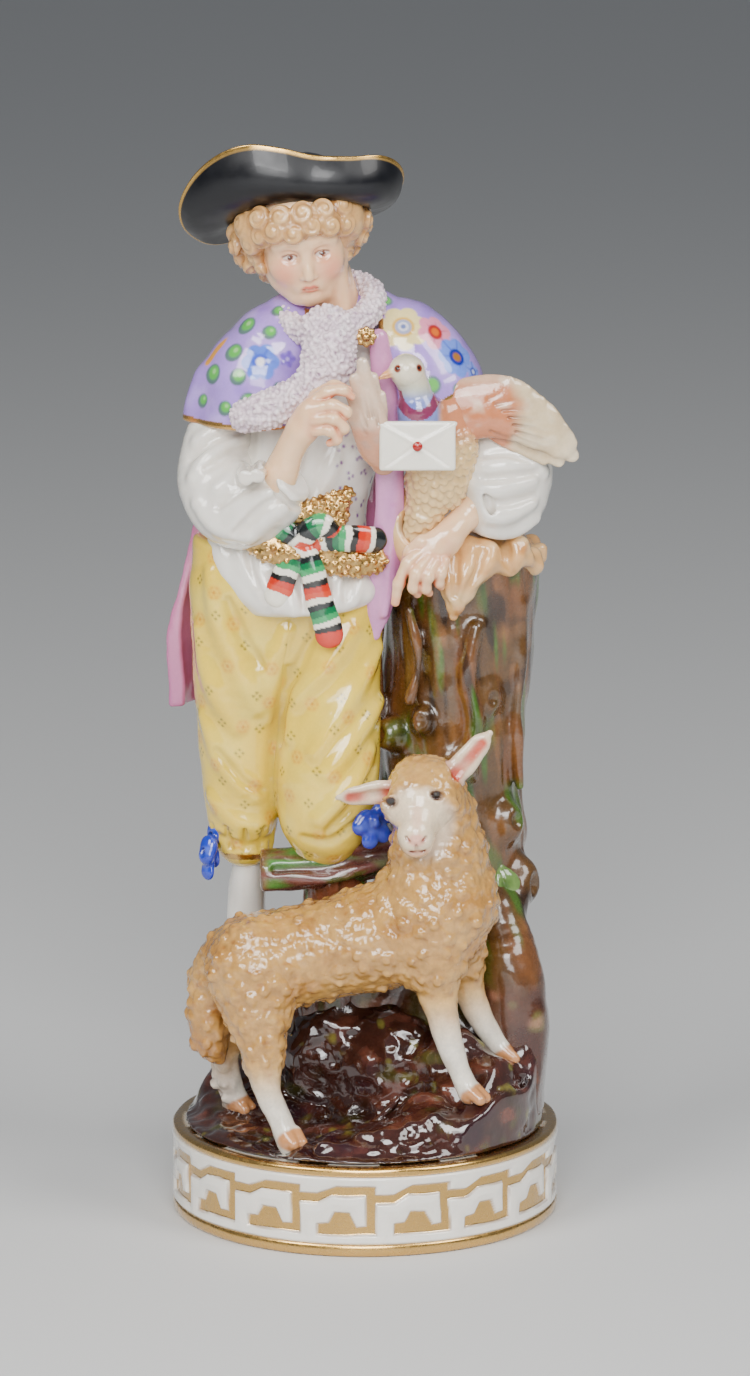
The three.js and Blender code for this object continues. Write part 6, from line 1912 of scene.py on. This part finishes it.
    for k, (p, n) in enumerate(zip(P, N)):
        curl(clay, p, n, 2.7, k)
    cut_plane(clay, (-0.113, 0.249, 0.962), (-15, 2, 248.0), 0.8)  # the rest is inside the hat
    skin = skin_of(clay, "#d8b98c")
    skin.mottle("#e8cfa6", 3, 5, -0.2, 0.9, 0.6)
    # darker brown between the curls: painted shade
    skin.mix(skin.pit * 0.9, "#a9804c")
    piece("hair_curled", skin, ["hair"], "hair")


def curl(clay, p, n, r, k):
    """One lock: a snail of hair lying on the head, with strands round it."""
    m = frame_for(n)
    w = clay.window(p - r * 1.3, p + r * 1.3, 0.4)
    if w is None:
        return
    sl, X, Y, Z = w
    x, y, z = X - F32(p[0]), Y - F32(p[1]), Z - F32(p[2])
    u, v, h = (F32(m[j, 0]) * x + F32(m[j, 1]) * y + F32(m[j, 2]) * z for j in range(3))
    q = np.sqrt(u * u + v * v) / F32(r)
    angle = np.arctan2(v, u) * (1 if k % 2 else -1)
    strand = np.cos((q * 1.9 - angle / F32(2 * math.pi)) * F32(2 * math.pi) + k)
    dome = np.sqrt(q * q + (h / F32(r * 0.72)) ** 2)
    body = (dome - 1) * F32(r * 0.72) + (0.5 - 0.5 * strand) * F32(0.13 * r) * np.clip(q * 2.5, 0, 1)
    clay.F[sl] = smooth_min(clay.F[sl], body.astype(F32), F32(0.34 * r))


def closed_loop(points, count):
    """A smooth closed curve of count points through the given ones."""
    P = np.asarray(points, float)
    n = len(P)
    t = np.arange(count) * n / count
    i = t.astype(int)
    f = (t - i)[:, None]
    p0, p1, p2, p3 = P[(i - 1) % n], P[i % n], P[(i + 1) % n], P[(i + 2) % n]
    return catmull_rom(p0, p1, p2, p3, f)


def rings_mesh(rings):
    """A closed mesh from rings of points, its two ends closed by quads that meet in their middles."""
    rows, columns = rings.shape[:2]
    V = rings.reshape(-1, 3)
    i = np.arange(rows - 1)[:, None] * columns
    j = np.arange(columns)[None, :]
    k = (j + 1) % columns
    Q = [np.stack([i + j, i + k, i + columns + k, i + columns + j], -1).reshape(-1, 4)]
    for row, out in ((0, False), (rows - 1, True)):
        V = np.vstack([V, rings[row].mean(0)])
        a = row * columns + np.arange(0, columns, 2)
        b = row * columns + np.arange(1, columns, 2)
        c = row * columns + (np.arange(2, columns + 2, 2) % columns)
        fan = np.stack([np.full(len(a), len(V) - 1), a, b, c], 1)
        Q.append(fan if out else fan[:, ::-1])
    return V, np.vstack(Q)


def hat():
    columns = by_quality(240)
    edge = closed_loop([(-12.5, -12.4, 260.6), (-4, -11, 260.2), (3.4, -8, 260.2), (7.6, -3, 257.4),
        (8.4, 4, 252.6), (5, 13, 247), (-3, 20, 242.4),
                        (-15, 23.4, 240), (-27, 21, 238.4), (-36.6, 14, 237.4), (-42.6, 6, 241.6),
                            (-43.6, -1, 248), (-40.4, -7, 255.2),
                        (-34.2, -11, 260.8), (-27.4, -13.4, 263.2), (-19.6, -13.4, 262.4)], columns)
    inner = closed_loop([(-14.4, -11.6, 250.6), (-8.6, -11.4, 251.2), (-3.4, -9.4, 250.6),
        (-0.2, -5, 249.0), (0.8, 2, 247.4), (-1, 9, 245.8), (-6, 14.4, 244.4),
                         (-15, 16.4, 243.4), (-24, 14.4, 243), (-29.6, 9, 243), (-31.8, 3, 243.6),
                             (-31.6, -2, 245.6), (-29.4, -6.6, 247.6),
                         (-26.2, -9.4, 249.2), (-22.4, -11, 250.2), (-18.4, -11.6, 250.6)], columns)
    middle = np.array([-15.2, 3.6, 250.0])
    S = np.linspace(0, 1, 22)
    span = edge - inner
    outward = unit_rows(np.c_[(inner - middle)[:, :2], np.zeros(columns)])
    brim = inner + S[:, None, None] * span + np.sin(math.pi * S)[:, None, None] * np.linalg.norm(span,
        axis=1)[:, None] * (outward * 0.2 + (0, 0, -0.12))
    du = np.roll(brim, -1, 1) - np.roll(brim, 1, 1)
    dv = np.gradient(brim, axis=0)
    normal = unit_rows(np.cross(du, dv))
    flip = np.sign((normal[11] * outward).sum(1).mean()) * -1
    normal = normal * flip  # now towards the crown
    thick = (1.0 - 0.25 * S)[:, None, None]
    crown = []
    for t in np.linspace(0.05, 1, 14):
        a = t * math.pi / 2
        ring = middle + (inner - middle) * math.sin(a) ** 0.75 * 0.97 + np.array([0, 0, 9.5]) * math.cos(a)
        crown.append(ring + (0, 0, 0.9))
    top = brim + normal * thick * 0.85
    under = brim - normal * thick * 0.85
    lip = []
    for a in np.linspace(0, math.pi, 9)[1:-1]:
        out = unit_rows(span)
        lip.append(edge + normal[-1] * 0.66 * math.cos(a) * 0.95 + out * 0.8 * math.sin(a))
    cavity = [middle + (inner - middle) * t + np.array([0, 0, 4.0]) * (1 - t) - (0, 0, 0.6) for t in (0.92,
        0.6, 0.3, 0.1)]
    rings = np.array(crown + list(top[1:]) + lip + list(under[::-1]) + cavity)
    rings = rings[::-1]
    V, Q = rings_mesh(rings)
    v = V[Q]
    if np.einsum("ij,ij->i", v[:, 0], np.cross(v[:, 1], v[:, 2])).sum() < 0:
        Q = Q[:, ::-1]
    V = V + unit_rows(V - middle) * (turbulence(*V.T, 9, 2, 4) * 0.18)[:, None]
    skin = Skin(V, Q, "#05060b")
    skin.mottle("#0b0e1a", 10, 8, 0.2, 1.0, 0.4)
    rim = np.zeros(len(V))
    first = len(cavity) + len(S)
    for row in range(first - 1, first + len(lip) + 2):
        rim[row * columns : (row + 1) * columns] = 1
    skin.gold(rim)
    piece("hat_cocked", skin, ["hat"], "black")


# ---------------------------------------------------------------- dove, letter and goatskin
def dove():
    fine = by_quality(0.3)
    clay = Clay((2, -24, 164), (27, 2, 217), fine)
    body = [Limb([(10.8, -13.6, 209, 3.6), (12.2, -13.2, 204, 4.0), (13.2, -12.6, 199, 5.6),
        (15, -11, 192, 6.8), (16, -9, 184, 6.2), (14.6, -8, 176, 4.6), (12, -8, 170, 3.0)])]
    crown = [Egg((9.8, -14.6, 210.3), (4.1, 4.2, 3.9))]
    clay.add_all(body + crown, 2.0)
    clay.add(Limb([(7.4, -15.8, 210.4, 1.5), (5.4, -17.0, 209.6, 1.0), (3.6, -17.8, 208.8, 0.5)]), 0.8)
    clay.cut(Limb([(3.4, -18.0, 208.7, .15), (6.6, -17.6, 209.6, .2)], spline=False), 0.3)
    for x, y in ((7.9, -17.9), (12.6, -16.6)):
        clay.add(Egg((x, y, 211.0), (0.75, 0.75, 0.75)), 0.2)
    clay.add(Limb([(20, -8, 199, 4.4), (22, -8, 190, 5), (20, -8, 180, 4)]), 3)
    P, N = clay.specks(1.7, 5, where=lambda P: P[:, 2] < 195)
    for p, n in zip(P, N):  # breast feathers, lapping downwards
        clay.add(Egg(p + n * 0.05, (1.05, 1.05, 0.42), frame_for(n + np.array([0, 0, 0.35])).T), 0.35)
    for node, part in split(clay, [body, crown], ["dove_body", "dove_head"]):
        skin = skin_of(part, "#e6cfa6", clay)
        V = skin.V
        z = V[:, 2]
        front = 1 - ease(V[:, 0], 17.0, 19.0)
        skin.mix(ease(z, 194, 197) * front, "#98a0c8")
        skin.mix(ease(z, 190, 197) * (1 - front), "#cf9c7c")
        skin.mix(ease(z, 197, 200) * ease(turbulence(*V.T, 2.4, 2, 4), -0.3, 0.7) * 0.7 * front, "#7f8ac0")
        skin.mix(ease(z, 203, 207.5), "#e6dfce")
        skin.mix(ease(z, 203, 206) * (1 - ease(z, 206, 209)) * 0.4, "#a9b4a4")
        away = np.hypot((V[:, 0] - 12.6) / 4.6, (z - 206.5) / 6.2)
        crescent = (away > 0.86) & (away < 1.3) & (z < 205.5) & (V[:, 1] < -10)
        skin.mix(crescent * 0.9, "#7c2c46")
        skin.mix(ease(z, 212.3, 213.8) * 0.5, "#a9a89c")
        skin.dab((3.6, -17.8, 208.8), 3.0, "#e9b988", 0.9, strength=0.95)
        for x, y in ((7.7, -18.2), (12.9, -17.2)):
            skin.dab((x, y, 211.1), 0.95, "#8b4a28", 0.2)
            skin.dab((x, y - 0.3, 211.2), 0.5, "#160c08", 0.15)
        piece(node + "_modelled", skin, [node], "bird")

    def wing(name, node, low, high, stations, face, root, tips, groove, colours):
        clay = Clay(low, high, fine)
        clay.add(Limb(stations, face=face, steps=6))
        # flight feathers: grooves between blades that end in round tips
        for tip in tips:
            tip = np.asarray(tip, float)
            clay.add(Limb([(*(np.asarray(root, float) * 0.45 + tip * 0.55), 1.5, .45),
                (*(np.asarray(root, float) * 0.2 + tip * 0.8), 1.7, .4), (*tip, 1.5, .4)], face=face), 0.35)
        for side in (-1, 1):
            for a, b in zip(tips[:-1], tips[1:]):
                m = (np.asarray(a, float) + np.asarray(b, float)) / 2
                r = np.asarray(root, float)
                off = unit(face) * side * groove
                clay.cut(Limb([(*(r * 0.5 + m * 0.5 + off), .25), (*(r * 0.2 + m * 0.8 + off), .4),
                    (*(m * 1.03 - r * 0.03 + off * 0.8), .5)]), 0.6)
        skin = skin_of(clay, colours[0])
        V = skin.V
        d = skin.away(root)
        reach = max(np.linalg.norm(np.asarray(t, float) - root) for t in tips)
        skin.mix(ease(d + noise(*V.T, 3, 4) * 1.5, reach * 0.42, reach * 0.6), colours[1])
        skin.mix(ease(d, reach * 0.8, reach * 1.05) * 0.6, colours[2])
        skin.mix(ease(turbulence(*V.T, 3, 2, 9), 0.1, 0.9) * 0.4, colours[2])
        # darker in the grooves between the feathers: painted shade
        skin.mix(skin.pit * 0.5, "#8a7060")
        skin.mix(ease(V[:, 2] - (stations[1][2] + stations[1][3] * 0.7), -1, 2) * 0.5, "#e9dccb")
        piece(name, skin, [node], "bird")

    wing("dove_wing_left_spread", "dove_wing_left", (15, -14, 180), (56, 0, 214),
         [(20.5, -8, 197.6, 5.6, .34), (26, -8.6, 200.2, 7.6, .3), (33, -8.4, 200.4, 7.6, .26),
             (40, -7.8, 197, 6.2, .25), (46, -7, 192.4, 4.2, .28), (49.6, -6.4, 188.6, 1.8, .4)],
         (0.1, -1, 0.12), (22, -8, 199),
         [(34.5, -8.2, 206.4), (38.5, -8, 204.4), (42, -7.6, 201.6), (45, -7.3, 198.4), (47.5, -7, 195),
             (49.6, -6.6, 191.4), (50, -6.4, 188.2), (46.6, -6.8, 187.0), (43, -7.2, 187.6),
             (39.4, -7.6, 189.4), (35.8, -8, 191.0)],
         2.5, ("#c4906e", "#d8cab0", "#ece4d4"))
    wing("dove_wing_right_raised", "dove_wing_right", (-8, -26, 177), (13, -8, 214),
         [(4.4, -14.4, 188, 3.2, .4), (2.4, -16, 193, 4.6, .36), (0.6, -17.8, 199.4, 4.6, .34),
             (-0.4, -18.8, 206, 3.4, .34), (-0.4, -19.2, 211.4, 1.6, .45)],
         (-0.2, -1, 0.1), (4.4, -14.4, 188),
         [(-3.4, -18.2, 200), (-3.2, -18.8, 204.6), (-2.4, -19.2, 208.6), (-0.6, -19.6, 212.6),
             (1.8, -19.2, 209), (3.6, -18.6, 204.6)],
         2.6, ("#d9b096", "#cfb09a", "#b9ada4"))

    lo, hi = frame_box("letter")
    c = (lo + hi) / 2
    w, h = (hi - lo)[0] / 2 - 0.1, 5.9
    lean = turn(-6, 0, 0)
    clay = Clay(lo - 2, hi + 2, fine)
    clay.add(Block(c, (w, 0.85, h), lean, round=0.55))
    corner = {k: c + lean @ np.array([sx * w, -1.05, sz * h]) for k,
        (sx, sz) in enumerate(((-1, 1), (1, 1), (1, -1), (-1, -1)))}
    centre = c + lean @ np.array([0, -1.05, 0.4])
    for k in range(4):
        clay.cut(Limb([(*corner[k], .3), (*(centre * 0.92 + corner[k] * 0.08), .22)], spline=False), 0.35)
    for k in (0, 1):
        clay.add(Limb([(*(corner[k] + (0, .45, -0.6)), .45), (*(centre + (0, .5, -0.2)), .55)],
            spline=False), 0.5)
    skin = skin_of(clay, "#f2efe6", whole=True)
    # darker in the folds of the paper: painted shade
    skin.mix(skin.pit * 0.5, "#c9c0a8")
    piece("letter_folded", skin, ["letter"], "white")
    lo, hi = frame_box("seal")
    s = (lo + hi) / 2
    clay = Clay(lo - 2, hi + 2, 0.2)
    clay.add(Egg(s, (1.25, 0.75, 1.25)))
    clay.push(noise(*clay.grid(), 0.9, 3) * 0.08, 1)
    skin = skin_of(clay, "#a52a1c", whole=True)
    piece("seal_wax", skin, ["seal"], "cloth")


def goatskin():
    clay = Clay((0, -18, 142), (49, 37, 184), by_quality(0.42))
    clay.add(Egg((24, 12.6, 160.4), (19.8, 19.8, 4.6)))
    clay.add(Egg((24, 12, 164), (16, 16, 5.5)), 3)
    for path in ([(24, -4, 164, 5, .8), (22.4, -7.4, 158, 5.4, .6), (21.6, -8.6, 153.4, 2.8, .6),
        (21.2, -8.4, 149.4, 1.2, .7)],
                 [(29, -5, 164, 4.0, .8), (28, -6.4, 161, 3.6, .6), (25, -7.2, 157.5, 2.2, .6)],
                 [(37, -1, 165, 3.4, .8), (38.6, 0, 163, 2.2, .7)],
                 [(8.6, -4.4, 177, 3.0), (7.4, -6, 172, 3.4), (9.2, -7.6, 167, 3.4),
                     (13, -7.8, 163.8, 3.8)],
                 [(14, -3, 177, 3.6), (15, -3.5, 170, 4.2), (16, -4, 165, 4.8)]):
        clay.add(Limb(path, face=(0, -1, 0)), 2.4)
    for a in np.linspace(0, 2 * math.pi, 15)[:-1]:
        x, y = 24 + 19.4 * math.cos(a), 12.6 + 19.4 * math.sin(a)
        if y > -4:
            clay.add(Limb([(x * 0.98 + 0.4, y * 0.98, 162.4, 1.8),
                (x - 0.4, y, 160.2 + 0.8 * math.sin(3 * a), 1.4)], spline=False), 2.2)
    clay.cut(Egg((11.0, -8.8, 171.4), (2.4, 4.2, 3.6)), 1.8)
    folds(clay, [[(26, 166), (24, 159), (22, 152)], [(31, 166), (29, 161), (26, 157)],
        [(18, 166), (20, 160), (21, 154)], [(36, 166), (38, 162), (42, 160)],
                 [(8, 175), (8.6, 169), (13, 164.6)]], 1.2, 2.0, sink=0.5)
    folds(clay, [[(28.4, 165), (26.6, 160), (23.6, 154)], [(34, 165), (34.6, 161.6), (36, 159)],
        [(22, 165), (22, 160), (21.6, 155)]], 0.7, 1.6, cut=True)
    X, Y, Z = clay.grid()
    clay.push(turbulence(X, Y, Z, 6, 2, 3) * 0.5 + np.sin(np.arctan2(Y - 12.6,
        X - 24) * 11) * 0.4 * ease(164 - Z, 0, 4), 3)
    clay.cut(Egg((23, 13, 150), (17.0, 17.0, 9.5)), 1)
    skin = skin_of(clay, "#e0be90")
    V = skin.V
    skin.mottle("#f3e0bd", 7, 3, -0.2, 0.9, 0.7)
    skin.mottle("#c9955c", 5, 13, 0.2, 0.9, 0.6)
    skin.mix(ease(-V[:, 2], -156, -149) * 0.4, "#c9a274")
    # dark brown in the hollow under the arm: painted shadow
    skin.mix((1 - ease(skin.away((11, -7.4, 171.2)) - 2.6, 0, 2.4)) * 0.85, "#5a3a22")
    piece("goatskin_draped", skin, ["goatskin"], "cloth")


# ---------------------------------------------------------------- floor, light and camera
def studio():
    bpy.ops.mesh.primitive_plane_add(size=24)
    floor = bpy.context.object
    floor.name = "studio_floor"
    paper = bpy.data.materials.new("studio_paper")
    _, _, shader = principled(paper)
    shader.inputs["Base Color"].default_value = (0.66, 0.665, 0.665, 1)
    shader.inputs["Roughness"].default_value = 0.75
    floor.data.materials.append(paper)

    def soft_box(name, place, aim, size, power, colour=(1, 1, 1)):
        light = bpy.data.lights.new(name, "AREA")
        light.shape, light.size, light.size_y = "RECTANGLE", size[0], size[1]
        light.energy, light.color = power, colour
        made = bpy.data.objects.new(name, light)
        bpy.context.collection.objects.link(made)
        made.location = place
        made.rotation_euler = (Vector(aim) - Vector(place)).to_track_quat("-Z", "Y").to_euler()

    soft_box("key_left", (-0.75, -0.75, 1.05), (0, 0, 0.12), (0.6, 0.6), 12.0, (1.0, 0.985, 0.96))
    soft_box("key_right", (0.8, -0.55, 0.95), (0, 0, 0.12), (0.55, 0.6), 8.8, (1.0, 0.985, 0.96))
    soft_box("front_fill", (0.0, -1.5, 0.55), (0, 0, 0.12), (0.7, 0.45), 6.5)
    soft_box("table_light", (0.0, -1.0, 0.7), (0, -0.6, 0), (0.6, 0.4), 10.5)
    world = bpy.data.worlds.new("studio")
    bpy.context.scene.world = world
    world.use_nodes = True
    colour, strength = world.node_tree.nodes["Background"].inputs[:2]
    colour.default_value = (0.90, 0.94, 1.0, 1)
    strength.default_value = 0.20


def camera():
    lens = bpy.data.cameras.new("camera")
    eye = bpy.data.objects.new("camera", lens)
    bpy.context.collection.objects.link(eye)
    eye.location = (0, -CAMERA_DISTANCE, CAMERA_DISTANCE * math.tan(math.radians(CAMERA_PITCH)))
    eye.rotation_euler = (Vector((0, 0, AIM_HEIGHT)) - eye.location).to_track_quat("-Z", "Y").to_euler()
    lens.sensor_fit = "VERTICAL"
    lens.sensor_height = 36
    lens.lens = lens.sensor_height * FOCAL_LENGTH / PHOTO_HEIGHT
    lens.shift_x = 10 / PHOTO_HEIGHT
    bpy.context.scene.camera = eye


MATERIAL = {
    "white": ceramic("white_glaze_and_gold", pool_and_shade_colour="#b9a58a", pool_and_shade_strength=0.35, tint=0.025, flesh=0.12,
        ripple=0.12),
    "earth": ceramic("manganese_ground", rough=0.12, ripple=0.35, ripple_size=2.6, tint=0.3, tint_size=5,
        pool_and_shade_colour="#1a0f10", pool_and_shade_strength=0.75),
    "bark": ceramic("painted_bark", rough=0.24, ripple=0.16, ripple_size=2.2, tint=0.2, tint_size=4,
        pool_and_shade_colour="#38200f", pool_and_shade_strength=0.8),
    "lamb": ceramic("lamb_glaze", rough=0.2, ripple=0.15, ripple_size=1.6, grain=0.1, tint=0.1, tint_size=3,
        pool_and_shade_colour="#7d5526", pool_and_shade_strength=0.75, flesh=0.1),
    "cloth": ceramic("painted_cloth", rough=0.16, ripple=0.12, grain=0.06, tint=0.05, pool_and_shade_colour="#8d7a4a",
        pool_and_shade_strength=0.4, flesh=0.08),
    "flesh": ceramic("flesh_bisque_glaze", rough=0.18, ripple=0.06, ripple_size=5, grain=0.03, tint=0.02,
        pool_and_shade_colour="#c98a66", pool_and_shade_strength=0.3, flesh=0.35),
    "hair": ceramic("painted_hair", rough=0.2, ripple=0.12, ripple_size=1.2, tint=0.08, tint_size=3,
        pool_and_shade_colour="#8a5f30", pool_and_shade_strength=0.6, flesh=0.1),
    "bird": ceramic("painted_plumage", rough=0.18, ripple=0.12, ripple_size=1.5, tint=0.06, tint_size=3,
        pool_and_shade_colour="#7d6a5a", pool_and_shade_strength=0.4, flesh=0.1),
    "black": ceramic("mirror_black", rough=0.35, coat=0.15, ripple=0.05, ripple_size=6, grain=0.02,
        tint=0.1, pool_and_shade_colour="#000000", pool_and_shade_strength=0.2),
    "fur": ceramic("porcelain_grog", rough=0.45, coat=0.35, ripple=0.3, ripple_size=1.2, grain=0.3,
        tint=0.12, tint_size=2, pool_and_shade_colour="#7d6a74", pool_and_shade_strength=0.7),
    "gilt": ceramic("fired_gold", ripple=0.3, ripple_size=1.4, grain=0.15, tint=0.15, tint_size=2,
        pool_and_shade_colour="#5a2e0c", pool_and_shade_strength=0.8, patina=0.8),
    "leaf": ceramic("painted_leaf", ripple=0.2, ripple_size=2, tint=0.15, pool_and_shade_colour="#2b3a1a"),
}


for build in (plinth, ground, trunk, log_and_stump, lamb, breeches, shirt, coat, sleeves, cape, fur, sash,
              belt, lower_legs, hands, head, hat, dove, goatskin, camera, studio):
    build()
